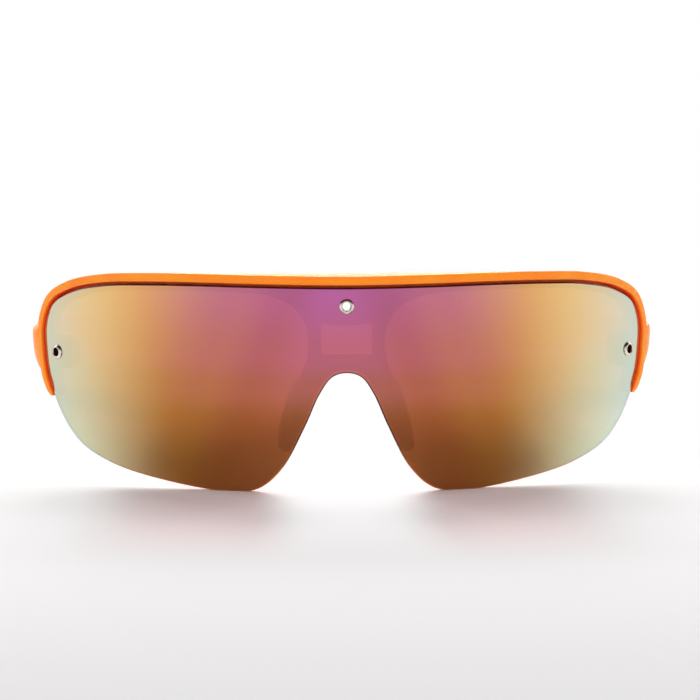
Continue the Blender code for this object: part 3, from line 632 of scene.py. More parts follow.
def piece(name, solid, body, finishes, stands_for, crease=CREASE_ANGLE):
    """One visible piece: the solid's mesh with its finishes, riding on a body in place of its CAD node."""
    for face in solid.faces:
        face.smooth = True
        face.material_index = min(face.material_index, len(finishes) - 1)
    for edge in solid.edges:
        marks = {face.material_index for face in edge.link_faces}
        edge.smooth = len(marks) == 1 and edge.calc_face_angle(0.0) < crease
    made = as_object(name, solid)
    for finish in finishes:
        made.data.materials.append(finish)
    even = made.modifiers.new("even shading", "WEIGHTED_NORMAL")
    even.keep_sharp = True
    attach(made, body)
    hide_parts(stands_for)
    return made


# Curves on the flat pattern, as Vectors of (arc, height)


def spline(keys, steps):
    """Points on a smooth curve through the keys; the first and last key are only its guides."""
    points = []
    for before, start, end, after in zip(keys, keys[1:], keys[2:], keys[3:]):
        pairs = ((before, start), (start, end), (end, after))
        lead, span, trail = [math.sqrt((b - a).length) for a, b in pairs]
        out = (start - before) / lead - (end - before) / (lead + span) + (end - start) / span
        into = (end - start) / span - (after - start) / (span + trail) + (after - end) / trail
        out *= span
        into *= span
        for i in range(steps):
            t = i / steps
            at_start = 2 * t**3 - 3 * t**2 + 1
            leaving = t**3 - 2 * t**2 + t
            at_end = 3 * t**2 - 2 * t**3
            arriving = t**3 - t**2
            points.append(at_start * start + leaving * out + at_end * end + arriving * into)
    points.append(keys[-2].copy())
    return points


def through(rows, steps):
    """A smooth run through rows of numbers, with its ends carried straight on as guides."""
    keys = [Vector(row) for row in rows]
    return spline([2 * keys[0] - keys[1], *keys, 2 * keys[-1] - keys[-2]], steps)


def around(rows, steps):
    """A smooth closed run through rows of numbers."""
    keys = [Vector(row) for row in rows]
    return spline([keys[-1], *keys, keys[0], keys[1]], steps)[:-1]


def flipped(point):
    """The point's mirror image across the centre line."""
    return Vector((-point[0], *point[1:]))


def both_halves(half):
    """The whole outline from the half of it between two points on the centre line."""
    return half + [flipped(p) for p in reversed(half[1:-1])]


def outward(points, i, side=1):
    """The curve's unit normal at one point; side 1 is to the left of its travel, -1 to the right."""
    along = points[min(i + 1, len(points) - 1)] - points[max(i - 1, 0)]
    return side * Vector((-along.y, along.x)).normalized()


def on_pattern(shares, drop=0.0):
    """Points of the flat pattern from shares of the lens's half arc and height."""
    return [Vector((out * LENS_HALF_ARC, up * LENS_HEIGHT - drop)) for out, up in shares]


def lens_keys():
    """The half outline's key points."""
    return on_pattern(LENS_OUTLINE_SHARES, LENS_FLAT)


def half_lens_outline():
    """The lens's edge from the top centre, round the left side, to the top of the notch."""
    keys = lens_keys()
    return spline([flipped(keys[1]), *keys, flipped(keys[-2])], OUTLINE_STEPS)


def lens_outline():
    """The whole edge of the lens, flat on its lowest stretches so that it stands."""
    return [Vector((p.x, max(p.y, 0.0))) for p in both_halves(half_lens_outline())]


def unset_on_wrap(arc, height, depth):
    """on_wrap before the glasses are centred in depth."""
    turn = arc / WRAP_RADIUS
    radius = WRAP_RADIUS - depth
    rise = height - LENS_HEIGHT / 2
    lean = rise * rise / (2 * FACE_RADIUS) - rise * math.tan(FACE_TILT)
    return Vector((radius * math.sin(turn), WRAP_RADIUS - radius * math.cos(turn) + lean, height))


def hinge_height():
    """Height of the hinges' middle, and of the side rivets."""
    return HINGE_HEIGHT_SHARE * LENS_HEIGHT


HINGE_CORNER = unset_on_wrap(LENS_HALF_ARC + PART_GAP + RIM_SIDE_WALL, hinge_height(), RIM_BACK)
CENTRING = frame["joints"][0]["pos_m"][1] - HINGE_CORNER.y - END_PIECE_LENGTH


def on_wrap(arc, height, depth):
    """The place in space of a flat pattern's point, at a depth behind the lens's front face."""
    return unset_on_wrap(arc, height, depth) + Vector((0.0, CENTRING, 0.0))


def frame_on_wrap(arc, height):
    """A matrix at a point of the lens's front face, with +Z along the way into the face."""
    step = LENS_THICKNESS
    place = on_wrap(arc, height, 0.0)
    across = on_wrap(arc + step, height, 0.0) - on_wrap(arc - step, height, 0.0)
    up = on_wrap(arc, height + step, 0.0) - on_wrap(arc, height - step, 0.0)
    inward = up.cross(across).normalized()
    if inward.y < 0:
        inward = -inward
    across.normalize()
    up = inward.cross(across)
    turn = Matrix((across, up, inward)).transposed()
    return Matrix.Translation(place) @ turn.to_4x4()


def wound(loop, way):
    """The closed loop running anticlockwise for way 1 and clockwise for way -1."""
    area = sum(p.x * q.y - q.x * p.y for p, q in zip(loop, loop[1:] + loop[:1]))
    return loop if area * way > 0 else loop[::-1]


def stepped_in(loop, amount):
    """The closed loop moved by an amount to the left of its travel, with mitred corners."""
    moved = []
    for before, here, after in zip(loop[-1:] + loop[:-1], loop, loop[1:] + loop[:1]):
        first, second = (here - before).normalized(), (after - here).normalized()
        normal = Vector((-first.y - second.y, first.x + second.x))
        moved.append(here + normal * (amount / max(1 + first.dot(second), MITRE_LIMIT)))
    return moved


def fill(solid, rim_edges, mark):
    """Fills the flat face between loops of edges, and marks it for its finish."""
    filled = bmesh.ops.triangle_fill(solid, edges=rim_edges, use_beauty=True)
    inner = []
    for item in filled["geom"]:
        if isinstance(item, bmesh.types.BMFace):
            item.material_index = mark
        elif isinstance(item, bmesh.types.BMEdge) and item not in rim_edges:
            inner.append(item)
    bmesh.ops.dissolve_limit(solid, angle_limit=FLAT_ANGLE, verts=[], edges=inner, delimit={"MATERIAL"})


def plate(outline, holes, front, back, radius):
    """A flat plate with holes and rounded edges; its faces are marked 0 in front, 1 on edges, 2 behind."""
    solid = bmesh.new()
    turns = [math.radians(90.0 * i / EDGE_STEPS) for i in range(EDGE_STEPS + 1)]
    profile = [(front + radius * (1 - math.sin(a)), radius * (1 - math.cos(a))) for a in reversed(turns)]
    profile += [(back - radius * (1 - math.sin(a)), radius * (1 - math.cos(a))) for a in turns]
    rims = ([], [])
    for loop in (wound(outline, 1), *[wound(hole, -1) for hole in holes]):
        rows = []
        for depth, inset in profile:
            rows.append([solid.verts.new((p.x, p.y, depth)) for p in stepped_in(loop, inset)])
        for first, second in zip(rows, rows[1:]):
            add_band(solid, first, second, 1)
        for rim_edges, row in zip(rims, (rows[0], rows[-1])):
            rim_edges += [solid.edges.get((row[i - 1], row[i])) for i in range(len(row))]
    for mark, rim_edges in zip((0, 2), rims):
        fill(solid, rim_edges, mark)
    bmesh.ops.recalc_face_normals(solid, faces=solid.faces)
    return solid


def disc(place, radius, sides):
    """A round loop on the flat pattern."""
    return [Vector(place) + Vector((p.x, p.y)) for p in circle(radius, 0.0, sides)]


def bent(solid, facet):
    """The flat plate with its faces sliced into a grid, bent to the wrap."""
    for axis in (0, 1):
        low = min(v.co[axis] for v in solid.verts)
        high = max(v.co[axis] for v in solid.verts)
        normal = Vector((axis == 0, axis == 1, 0.0))
        for i in range(int((high - low) / facet)):
            at = low + facet * (i + 0.5)
            level = [f for f in solid.faces if f.material_index != 1]
            geometry = list({v for f in level for v in f.verts})
            geometry += list({e for f in level for e in f.edges}) + level
            bmesh.ops.bisect_plane(solid, geom=geometry, plane_co=normal * at, plane_no=normal)
    for vert in solid.verts:
        vert.co = on_wrap(*vert.co)
    bmesh.ops.recalc_face_normals(solid, faces=solid.faces)
    if solid.calc_volume(signed=True) < 0:
        bmesh.ops.reverse_faces(solid, faces=solid.faces)
    return solid


# Shared places


def seat_front():
    """Depth of the seat's front face."""
    return LENS_THICKNESS + PART_GAP


def seat_back():
    """Depth of the seat's back face."""
    return seat_front() + SEAT_THICKNESS


def toward_top(normal, side, top, ease=2):
    """A rim value between the one at the sides and the one along the top."""
    return side + (top - side) * max(normal.y, 0.0) ** ease


def rim_gap(normal):
    """The gap between lens and rim."""
    return toward_top(normal, PART_GAP, RIM_TOP_GAP)


def rim_wall(normal):
    """The rim's wall thickness."""
    return toward_top(normal, RIM_SIDE_WALL, RIM_TOP_WALL)


def rim_stations():
    """The rim's half path, from the top centre to its tip: point on the lens's edge, normal, size share."""
    keys = lens_keys()
    half = half_lens_outline()
    last = SIDE_KEY * OUTLINE_STEPS
    points = half[: last + 2]
    stations = []
    for i in range(last + 1):
        normal = outward(points, i) if i else Vector((0.0, 1.0))
        stations.append((points[i], normal, 1.0))
    side = keys[SIDE_KEY]
    below = (keys[SIDE_KEY + 1] - side).normalized()
    normal = stations[-1][1]
    bend = Vector((below.y, -below.x))
    bend = bend if bend.x > 0 else -bend
    for reach, size in RIM_TIP_SHARES:
        stations.append((side + below * (reach * RIM_TIP_REACH), normal.lerp(bend, reach), size))
    return stations


def hinge_axis():
    """A point on the left hinge's axis, at the middle of its knuckles."""
    depth = HINGE_CORNER.y + END_PIECE_LENGTH + CENTRING
    return Vector((HINGE_CORNER.x - AXIS_INSET, depth, hinge_height()))


def inner_face():
    """How far outside the hinge's axis the arms' inner faces lie."""
    return KNUCKLE_RADIUS + FIT_GAP


def pad_line():
    """The nose pad's top and foot on the flat pattern."""
    return on_pattern((PAD_TOP_SHARES, PAD_FOOT_SHARES))


def rivet_places():
    """Flat-pattern place of each rivet, by the name of its side."""
    side = LENS_HALF_ARC - SIDE_RIVET_EDGE
    return {
        "centre": (0.0, CENTRE_RIVET_SHARE * LENS_HEIGHT),
        "left": (side, hinge_height()),
        "right": (-side, hinge_height()),
    }


def rivet_hole(side, sides):
    """One rivet's round hole on the flat pattern."""
    return disc(rivet_places()[side], RIVET_BARREL + FIT_GAP, sides)


# The lens


def lens_solid(look, sides):
    """The shield lens: cut, drilled and polished flat, then bent."""
    holes = [rivet_hole(side, sides) for side in rivet_places()]
    flat = plate(lens_outline(), holes, 0.0, LENS_THICKNESS, look.edge_round)
    return bent(flat, look.facet)


# The front


def rim_section(look, point, normal, size):
    """The rim's section at a station, as (distance out from the wall's middle, depth)."""
    wall = rim_wall(normal) / 2 * size
    shelf = max(1 - (point.x / BROW_HALF_ARC) ** 2, 0.0) ** BROW_EASE
    front = -RIM_PROUD * size
    back = RIM_BACK + (BROW_DEPTH - RIM_BACK) * shelf - (1 - size) * RIM_PROUD
    fall = (RIM_FALL * (1 - shelf) - SHELF_RISE * shelf) * size
    corners = [Vector(c) for c in ((-wall, front), (wall, front), (wall - fall, back), (-wall, back))]
    steps = len(LIP_SHADE_SHARES) - 1
    section = rounded(corners, min(look.edge_round, wall * WALL_ROUND_SHARE), steps)
    at = 2 * steps + 2
    start, end = section[at - 1], section[at]
    line = []
    for t, lift in MOULD_LINE_SHARES:
        line.append(start.lerp(end, t) + Vector((lift * look.mould_line * size, 0.0)))
    return [*section[:at], *line, *section[at:], Vector((-wall, 0.0))]


def rim(look):
    """The rim's wall, swept from tip to tip, with its inner lip marked for its painted red shade."""
    half = rim_stations()
    stations = [(flipped(p), flipped(n), size) for p, n, size in reversed(half[1:])] + half
    loops = []
    lip_shades = []
    for point, normal, size in stations:
        middle = rim_gap(normal) + rim_wall(normal) / 2
        section = rim_section(look, point, normal, size)
        flat = [(point + normal * (middle + out), depth) for out, depth in section]
        loops.append([on_wrap(p.x, p.y, depth) for p, depth in flat])
        bands = [LIP_SHADE_SHARES[min(i, len(LIP_SHADE_SHARES) - 1)] for i in range(len(section) - 1)]
        lip_shades += [toward_top(normal, *band, LIP_SHADE_EASE) for band in bands] + [1.0]
    solid = loft(loops)
    layer = solid.loops.layers.float.new(LIP_SHADE)
    for vert, share in zip(solid.verts, lip_shades):
        for corner in vert.link_loops:
            corner[layer] = share
    return solid


def seat_outline():
    """The seat's edge: under the rim, and round the eye openings, the legs and the notch."""
    stations = rim_stations()
    outer = [p + n * (rim_gap(n) + rim_wall(n) / 2) for p, n, size in stations]
    inner_start = BRIDGE_SHARES[0][0] * LENS_HALF_ARC + LEDGE_WIDTH
    ledge = [(p, n) for p, n, size in stations if p.x > inner_start]
    inner = [p - n * LEDGE_WIDTH for p, n in reversed(ledge[: -len(RIM_TIP_SHARES)])]
    keys = on_pattern(BRIDGE_SHARES)
    bridge = spline([inner[-1], *keys, keys[-1] + (keys[-1] - keys[-2])], OUTLINE_STEPS)
    lens = half_lens_outline()
    notch = []
    for i in range(len(lens) - 1, 0, -1):
        if lens[i].y < BRIDGE_SHARES[-1][1] * LENS_HEIGHT:
            break
        raised = lens[i] + outward(lens, i, -1) * NOSE_COVER
        notch.append(raised if i < len(lens) - 1 else lens[i] + Vector((0.0, NOSE_COVER)))
    return both_halves(outer + inner + bridge + notch[::-1])


def window_outline():
    """The bridge's window, whose long sides sag a little."""
    middle = WINDOW_CENTRE_SHARE * LENS_HEIGHT
    half_width = WINDOW_WIDTH / 2
    half_height = WINDOW_HEIGHT / 2
    corners = []
    for side in (1, -1):
        for i in range(WINDOW_STEPS + 1):
            x = half_width * (1 - 2 * i / WINDOW_STEPS) * side
            sag = WINDOW_SAG if side > 0 else -WINDOW_LOWER_SAG
            corners.append(Vector((x, middle + side * half_height - sag * (1 - (x / half_width) ** 2))))
    return rounded(corners, WINDOW_ROUND, WINDOW_ROUND_STEPS)


def butt_end(loop, radius, way):
    """The rounded start of an arm that runs from this loop along Y, rearward for way 1."""
    away = Vector((0.0, way * radius, 0.0))
    return [
        [p + away * along for p in drawn_in(loop, radius * inset)] for along, inset in END_ROUND_SHARES
    ]


def end_piece(look):
    """The block that reaches from the rim's left side back to the hinge, its rear edges rounded."""
    axis = hinge_axis()
    base = on_wrap(0.0, hinge_height(), 0.0).y
    section = around(ARM_SECTION_SHARES, SECTION_STEPS)
    loops = []
    for along, inner, outer, size, follow in through(END_PIECE_SHARES, END_PIECE_STEPS):
        forward = BUTT_GAP + along * END_PIECE_LENGTH
        loop = []
        for across, up in section:
            rise = (up - 0.5) * ARM_HEIGHT * size
            lean = (on_wrap(0.0, hinge_height() + rise, 0.0).y - base) * follow
            out = inner_face() + (inner + across * (outer - inner)) * ARM_THICKNESS
            loop.append(axis + Vector((out, lean - forward, rise)))
        loops.append(loop)
    return loft(butt_end(loops[0], look.edge_round, -1) + loops[1:])


def front_solid(look, facet, sides):
    """The orange front in one moulding: rim, seat, bridge, legs and end pieces."""
    top, foot = pad_line()
    at = top.lerp(foot, PEG_SHARE)
    holes = [window_outline(), rivet_hole("centre", sides)]
    for way in (1, -1):
        holes.append(disc((way * at.x, at.y), PEG_RADIUS + FIT_GAP, sides // 2))
    seat = bent(plate(seat_outline(), holes, seat_front(), seat_back(), look.edge_round / 2), facet)
    pieces = []
    for side in SIDES:
        boss = disc(rivet_places()[side], BOSS_RADIUS, sides)
        front, back = seat_front() + FIT_GAP / 2, seat_back() + BOSS_RISE
        pieces.append(bent(plate(boss, [rivet_hole(side, sides)], front, back, FIT_GAP), facet))
    return joined(rim(look), seat, *pieces, end_piece(look), mirrored(end_piece(look)))


# Rivets and hinges


def rivet_back(side):
    """Depth at which a rivet's rolled end starts."""
    rise = 0.0 if side == "centre" else BOSS_RISE
    return seat_back() + rise + FIT_GAP + WASHER_THICKNESS + FIT_GAP


def rivet_solid(side, sides):
    """One hollow rivet: a domed flange in front, a barrel, and a rolled end behind the washer."""
    front = -FIT_GAP
    back = rivet_back(side)
    width = RIVET_FLANGE - RIVET_BORE
    profile = [(RIVET_BORE + out * width, front - (1 - t) * FLANGE_THICKNESS) for out, t in DOME_SHARES]
    profile += [(RIVET_FLANGE, front), (RIVET_BARREL, front), (RIVET_BARREL, back), (RIVET_FLANGE, back)]
    profile += [(RIVET_BORE + out * width, back + (1 - t) * FLANGE_THICKNESS) for out, t in ROLL_SHARES]
    solid = turned(profile, sides, ring=True)
    # The faces inside the bore take the painted bore shade
    for face in solid.faces:
        middle = face.calc_center_median()
        inside = math.hypot(middle.x, middle.y) < RIVET_BORE + BORE_SHADE_MARGIN
        face.material_index = 1 if inside and middle.z > front - FLANGE_THICKNESS / 2 else 0
    return solid


def washer_solid(side, look):
    """The washer between the seat and a rivet's rolled end."""
    back = rivet_back(side) - FIT_GAP
    front = back - WASHER_THICKNESS
    hole = RIVET_BARREL + FIT_GAP
    profile = ((hole, front), (WASHER_RADIUS, front), (WASHER_RADIUS, back), (hole, back))
    return softened(turned(profile, look.sides, ring=True), look.edge_round)


def knuckle_span(level):
    """Bottom and top of the knuckle at level -1, 0 or 1."""
    middle = level * (KNUCKLE_HEIGHT + KNUCKLE_GAP)
    return middle - KNUCKLE_HEIGHT / 2, middle + KNUCKLE_HEIGHT / 2


def leaf_screw_matrix(along, up):
    """Turns an upright screw, head up, so that it enters the left arm from its inner face."""
    turn = Matrix.Rotation(math.radians(-90.0), 4, "Y")
    return Matrix.Translation((KNUCKLE_RADIUS - LEAF_THICKNESS, along, up)) @ turn


def leaf_screw_spots(way, run):
    """The two screws of a leaf, as (name, distance along the arm, height)."""
    along = way * (KNUCKLE_RADIUS + LEAF_MARGIN + (run - LEAF_MARGIN) / 2)
    return (("upper", along, SCREW_SPREAD / 2), ("lower", along, -SCREW_SPREAD / 2))


def knuckle_solid(level, way, sides):
    """One knuckle, with the web that ties it to its leaf; way 1 is rearward."""
    bottom, top = knuckle_span(level)
    web = sorted((way * PIN_RADIUS, way * (KNUCKLE_RADIUS + LEAF_MARGIN + LEAF_THICKNESS)))
    low = (KNUCKLE_RADIUS - LEAF_THICKNESS + WEB_INSET, web[0], bottom + WEB_INSET)
    high = (KNUCKLE_RADIUS - WEB_INSET, web[1], top - WEB_INSET)
    return joined(rod(KNUCKLE_RADIUS, bottom, top, sides), block(low, high))


def leaf_solid(levels, way, run, look):
    """A hinge leaf: a plate on the arm's inner face, with knuckles at these levels; way 1 is rearward."""
    inside = KNUCKLE_RADIUS - LEAF_THICKNESS
    near = KNUCKLE_RADIUS + LEAF_MARGIN
    half = knuckle_span(1)[1] + LEAF_MARGIN
    ends = sorted((way * near, way * (near + run - LEAF_MARGIN)))
    solid = block((inside, ends[0], -half), (KNUCKLE_RADIUS, ends[1], half))
    for level in levels:
        solid = joined(solid, knuckle_solid(level, way, look.sides))
    bore = rod(PIN_RADIUS + RUNNING_GAP, -half - CUT_OVERRUN, half + CUT_OVERRUN, look.sides)
    solid = carved(solid, bore)
    sink = SCREW_HEAD_RADIUS + FIT_GAP
    shank = SCREW_RADIUS + FIT_GAP
    profile = (
        (shank, -CUT_OVERRUN - LEAF_THICKNESS),
        (shank, -SCREW_HEAD_DEPTH - FIT_GAP),
        (sink, -FIT_GAP),
        (sink, CUT_OVERRUN),
    )
    for _, along, up in leaf_screw_spots(way, run):
        solid = carved(solid, placed(turned(profile, look.sides // 2), leaf_screw_matrix(along, up)))
    return softened(solid, look.edge_round)


def slotted(profile, top, sides, reach):
    """A turned screw with a slot across the top of its head."""
    floor = top - SLOT_DEPTH
    slot = block((-reach, -SLOT_WIDTH / 2, floor), (reach, SLOT_WIDTH / 2, floor + CUT_OVERRUN))
    return carved(turned(profile, sides), slot)


def leaf_screw_solid(look):
    """A countersunk slotted screw, upright, its slightly crowned head's top at Z = 0."""
    round_off = look.edge_round
    profile = (
        (SCREW_TIP_RADIUS, -SCREW_LENGTH),
        (SCREW_RADIUS, -SCREW_LENGTH + SCREW_TIP_LENGTH),
        (SCREW_RADIUS, -SCREW_HEAD_DEPTH),
        (SCREW_HEAD_RADIUS, -FIT_GAP),
        (SCREW_HEAD_RADIUS, -round_off),
        (SCREW_HEAD_RADIUS - round_off, -round_off / 4),
        (SCREW_HEAD_RADIUS / 2, 0.0),
    )
    return slotted(profile, 0.0, look.sides // 2, SCREW_HEAD_RADIUS + CUT_OVERRUN)


def hinge_screw_solid(look):
    """The hinge's slotted screw, upright about its axis, with a domed head on top."""
    top = knuckle_span(1)[1] + FIT_GAP
    bottom = knuckle_span(-1)[0] - FIT_GAP
    profile = [
        (PIN_TIP_RADIUS, bottom - PIN_TIP_LENGTH),
        (PIN_RADIUS, bottom),
        (PIN_RADIUS, top),
        (PIN_HEAD_RADIUS, top),
    ]
    for out, up in PIN_DOME_SHARES:
        profile.append((PIN_HEAD_RADIUS * out, top + PIN_HEAD_HEIGHT * up))
    return slotted(profile, top + PIN_HEAD_HEIGHT, look.sides, PIN_HEAD_RADIUS + CUT_OVERRUN)


# Temples and nose pads


def set_down(solid, floor):
    """Bends the temple behind the ear so that it stands on the floor, and flattens its foot there."""
    lowest = min(solid.verts, key=lambda v: v.co.z).co.copy()
    start = EAR_START_SHARE * TEMPLE_LENGTH
    shift = floor - FOOT_FLAT - lowest.z
    for vert in solid.verts:
        run = max(vert.co.y - start, 0.0) / (lowest.y - start)
        vert.co.z = max(vert.co.z + shift * run**2, floor)


def temple_solid(look):
    """The left temple: straight, toed in a little, then down and in behind the ear."""
    floor = -hinge_height()
    leaf_end = KNUCKLE_RADIUS + LEAF_MARGIN + TEMPLE_LEAF_LENGTH
    rows = through(TEMPLE_SHARES, TEMPLE_STEPS)
    path = [Vector((BUTT_GAP + along * TEMPLE_LENGTH, fall * floor)) for along, fall, _, _ in rows]
    section = around(ARM_SECTION_SHARES, SECTION_STEPS)
    ridge = max(range(len(section)), key=lambda i: section[i].y)
    loops = []
    for i, (along, _, height, thickness) in enumerate(rows):
        normal = outward(path, i) if i else Vector((0.0, 1.0))
        past_leaf = max(path[i].x - leaf_end, 0.0)
        late = max(along - EAR_START_SHARE, 0.0) / (1 - EAR_START_SHARE)
        inner = inner_face() - past_leaf * math.tan(TOE_ANGLE) - EAR_TUCK * late**2
        loop = []
        for k, (across, up) in enumerate(section):
            rise = (up - 0.5) * height * ARM_HEIGHT + (look.mould_line if k == ridge else 0.0)
            spot = path[i] + normal * rise
            loop.append(Vector((inner + across * thickness * ARM_THICKNESS, spot.x, spot.y)))
        loops.append(loop)
    tip = []
    for along, inset in reversed(END_ROUND_SHARES):
        near_end = [end.lerp(before, along) for end, before in zip(loops[-1], loops[-3])]
        tip.append(drawn_in(near_end, look.edge_round * inset))
    solid = loft(butt_end(loops[0], look.edge_round, 1) + loops[1:-3] + tip)
    set_down(solid, floor)
    return placed(solid, Matrix.Translation(hinge_axis()))


def pad_solid():
    """The left nose pad: a soft blade splayed to the nose's side, with the peg that holds it."""
    top, foot = pad_line()
    down = foot - top
    length_down = down.length
    down.normalize()
    side = Vector((-down.y, down.x))
    side = side if side.x > 0 else -side
    base = seat_back() + PART_GAP
    section = around(PAD_SECTION_SHARES, PAD_SECTION_STEPS)
    loops = []
    for along, depth, thickness in through(PAD_STATION_SHARES, PAD_STEPS):
        middle = top + down * (along * length_down)
        loop = []
        for back, across in section:
            behind = max(back, 0.0) * depth * PAD_DEPTH
            out = across * thickness * PAD_THICKNESS + behind * math.tan(PAD_SPLAY)
            spot = middle + side * out
            loop.append(on_wrap(spot.x, spot.y, base + behind))
        loops.append(loop)
    at = top.lerp(foot, PEG_SHARE)
    peg = rod(PEG_RADIUS, base - PEG_SINK - PART_GAP, base + CUT_OVERRUN, PEG_SIDES)
    return joined(loft(loops), placed(peg, frame_on_wrap(at.x, at.y)))


# Finishes


def new_finish(name):
    """A new material with its node tree, its shader and the node output for a point's place on the piece."""
    made = bpy.data.materials.new(name)
    made.use_nodes = True
    tree = made.node_tree
    return made, tree, tree.nodes["Principled BSDF"], add(tree, "ShaderNodeTexCoord").outputs["Object"]


def add(tree, kind, inputs=(), **settings):
    """A node with its settings and inputs."""
    made = tree.nodes.new(kind)
    for key, value in settings.items():
        setattr(made, key, value)
    feed(tree, made, inputs)
    return made


def feed(tree, node, inputs):
    """Fills a node's inputs: links each one whose value is a socket, and sets the others."""
    for key, value in inputs:
        if isinstance(value, bpy.types.NodeSocket):
            tree.links.new(value, node.inputs[key])
        else:
            node.inputs[key].default_value = value


def shade(tree, shader, tone, rough, constants):
    """Fills the shader's colour, its roughness and what stays the same all over."""
    feed(tree, shader, (("Base Color", tone), ("Roughness", rough), *constants.items()))


def calc(tree, operation, *values, clamp=False):
    """The result of a sum on one to three values."""
    return add(tree, "ShaderNodeMath", enumerate(values), operation=operation, use_clamp=clamp).outputs[0]


def chain(tree, operation, first, *others):
    """Many values taken together, by the same sum on two at a time."""
    for value in others:
        first = calc(tree, operation, first, value)
    return first


def changed(tree, base, *changes):
    """The base with each pattern added to it, times its own amount."""
    for pattern, amount in changes:
        base = calc(tree, "MULTIPLY_ADD", pattern, amount, base)
    return base


def spread(tree, value, low, high, to_low, to_high, smooth=True):
    """The value carried from one range to another, held at both ends."""
    inputs = enumerate((value, low, high, to_low, to_high))
    kind = "SMOOTHSTEP" if smooth else "LINEAR"
    return add(tree, "ShaderNodeMapRange", inputs, interpolation_type=kind).outputs[0]


def split(tree, vector):
    """The three numbers of a vector."""
    return add(tree, "ShaderNodeSeparateXYZ", ((0, vector),)).outputs


def paint(tree, factor, first, second, mode="MIX"):
    """Two colours mixed by a factor."""
    inputs = ((0, factor), (6, opaque(first)), (7, opaque(second)))
    return add(tree, "ShaderNodeMix", inputs, data_type="RGBA", blend_type=mode).outputs[2]


def opaque(value):
    """A colour with its fourth number, or a socket as it is."""
    return value if isinstance(value, bpy.types.NodeSocket) else (*value, 1.0)


def ramp(tree, factor, places, tones):
    """A smooth run of colours along a factor from 0 to 1."""
    made = add(tree, "ShaderNodeValToRGB", ((0, factor),))
    made.color_ramp.interpolation = "EASE"
    marks = made.color_ramp.elements
    for place in places[2:]:
        marks.new(place)
    for mark, place, tone in zip(marks, places, tones):
        mark.position = place
        mark.color = opaque(tone)
    return made.outputs[0]


def grain(tree, place, size, detail=2.0, roughness=0.5):
    """Noise with lumps of this size, in metres."""
    inputs = (("Vector", place), ("Scale", 1 / size), ("Detail", detail), ("Roughness", roughness))
    return add(tree, "ShaderNodeTexNoise", inputs).outputs["Fac"]


def patches(tree, place, size, detail, roughness, start, full, most):
    """Patches of noise that run from 0 to how full they are at most."""
    return spread(tree, grain(tree, place, size, detail, roughness), start, full, 0.0, most)


def relief(tree, shader, height, depth):
    """Raises and sinks the surface by a height from 0 to 1 over a depth in metres."""
    bump = add(tree, "ShaderNodeBump", (("Height", height), ("Distance", depth), ("Strength", 1.0)))
    feed(tree, shader, (("Normal", bump.outputs[0]),))


def satin_orange(look):
    """Moulded nylon: orange, with painted red shade on the rim's inner lip, a fine mould grain and rubbed
    patches.
    """
    made, tree, shader, place = new_finish("satin_orange_nylon")
    tone = paint(tree, patches(tree, place, *CLOUDS), look.orange, look.deep_orange)
    # Painted red shade on the rim's inner lip, where it lies in shade by the lens
    lip_shade = add(tree, "ShaderNodeAttribute", attribute_name=LIP_SHADE).outputs["Fac"]
    tone = paint(tree, lip_shade, tone, look.lip_shade_orange)
    fine = grain(tree, place, look.grain)
    rubbed = patches(tree, place, *RUBBED)
    rough = changed(tree, look.roughness, (rubbed, RUBBED_CHANGE), (fine, GRAIN_CHANGE))
    shade(tree, shader, tone, rough, NYLON)
    relief(tree, shader, fine, look.grain_height)
    return made


def mirror_coat(look):
    """The lens's front: a mirror coat from plum at the top centre to gold and silver at the sides."""
    made, tree, shader, place = new_finish("mirror_coat")
    across, _, up = split(tree, place)
    reach = WRAP_RADIUS * math.sin(LENS_HALF_ARC / WRAP_RADIUS)
    aside = calc(tree, "ABSOLUTE", calc(tree, "SUBTRACT", across, look.coat_shift))
    aside = calc(tree, "DIVIDE", aside, reach, clamp=True)
    drop = spread(tree, up, LENS_HEIGHT, 0.0, 0.0, 1.0, smooth=False)
    band = calc(tree, "MULTIPLY_ADD", drop, COAT_LEAN, aside, clamp=True)
    hues = (look.coat_centre, look.coat_inner, look.coat_middle, look.coat_outer)
    falls = (WHITE, look.fall_upper, look.fall_middle, look.fall_lower, look.fall_foot)
    hue = ramp(tree, band, COAT_PLACES, hues)
    # Darker and yellower downwards: partly the coat's own change, partly painted shade of its dark
    # reflection
    tone = paint(tree, 1.0, hue, ramp(tree, drop, FALL_PLACES, falls), "MULTIPLY")
    edge = calc(tree, "MULTIPLY_ADD", drop, SILVER_LEAN, aside)
    tone = paint(tree, spread(tree, edge, *SILVER_SPAN, 0.0, 1.0), tone, look.coat_side)
    smears = patches(tree, place, *SMEARS)
    dust = patches(tree, place, *DUST)
    rough = changed(tree, look.gloss, (smears, SMEARS_CHANGE), (dust, DUST_CHANGE))
    shade(tree, shader, tone, rough, {**LENS_BODY, "Metallic": look.mirror})
    return made


def tinted_back(look):
    """The lens's brown body, glossy on the back."""
    made, tree, shader, place = new_finish("lens_back")
    smears = grain(tree, place, *BACK_MARKS)
    tone = paint(tree, smears, look.body_tint, [c * SMEAR_SHADE for c in look.body_tint])
    shade(tree, shader, tone, changed(tree, BACK_ROUGHNESS, (smears, BACK_CHANGE)), LENS_BACK)
    return made


def polished_edge(look):
    """The lens's cut edge: plum round the nose, a painted amber glow of light through the body along the
    foot, and lilac at the sides.
    """
    made, tree, shader, place = new_finish("lens_edge")
    across, _, up = split(tree, place)
    aside = calc(tree, "ABSOLUTE", across)
    tone = paint(tree, spread(tree, up, *AMBER_GLOW_SPAN, 1.0, 0.0), look.edge_plum, look.edge_amber_glow)
    tone = paint(tree, spread(tree, aside, *LILAC_SPAN, 0.0, 1.0), tone, look.edge_lilac)
    rough = changed(tree, EDGE_ROUGHNESS, (grain(tree, place, *SAW_MARKS), SAW_CHANGE))
    shade(tree, shader, tone, rough, LENS_EDGE)
    return made


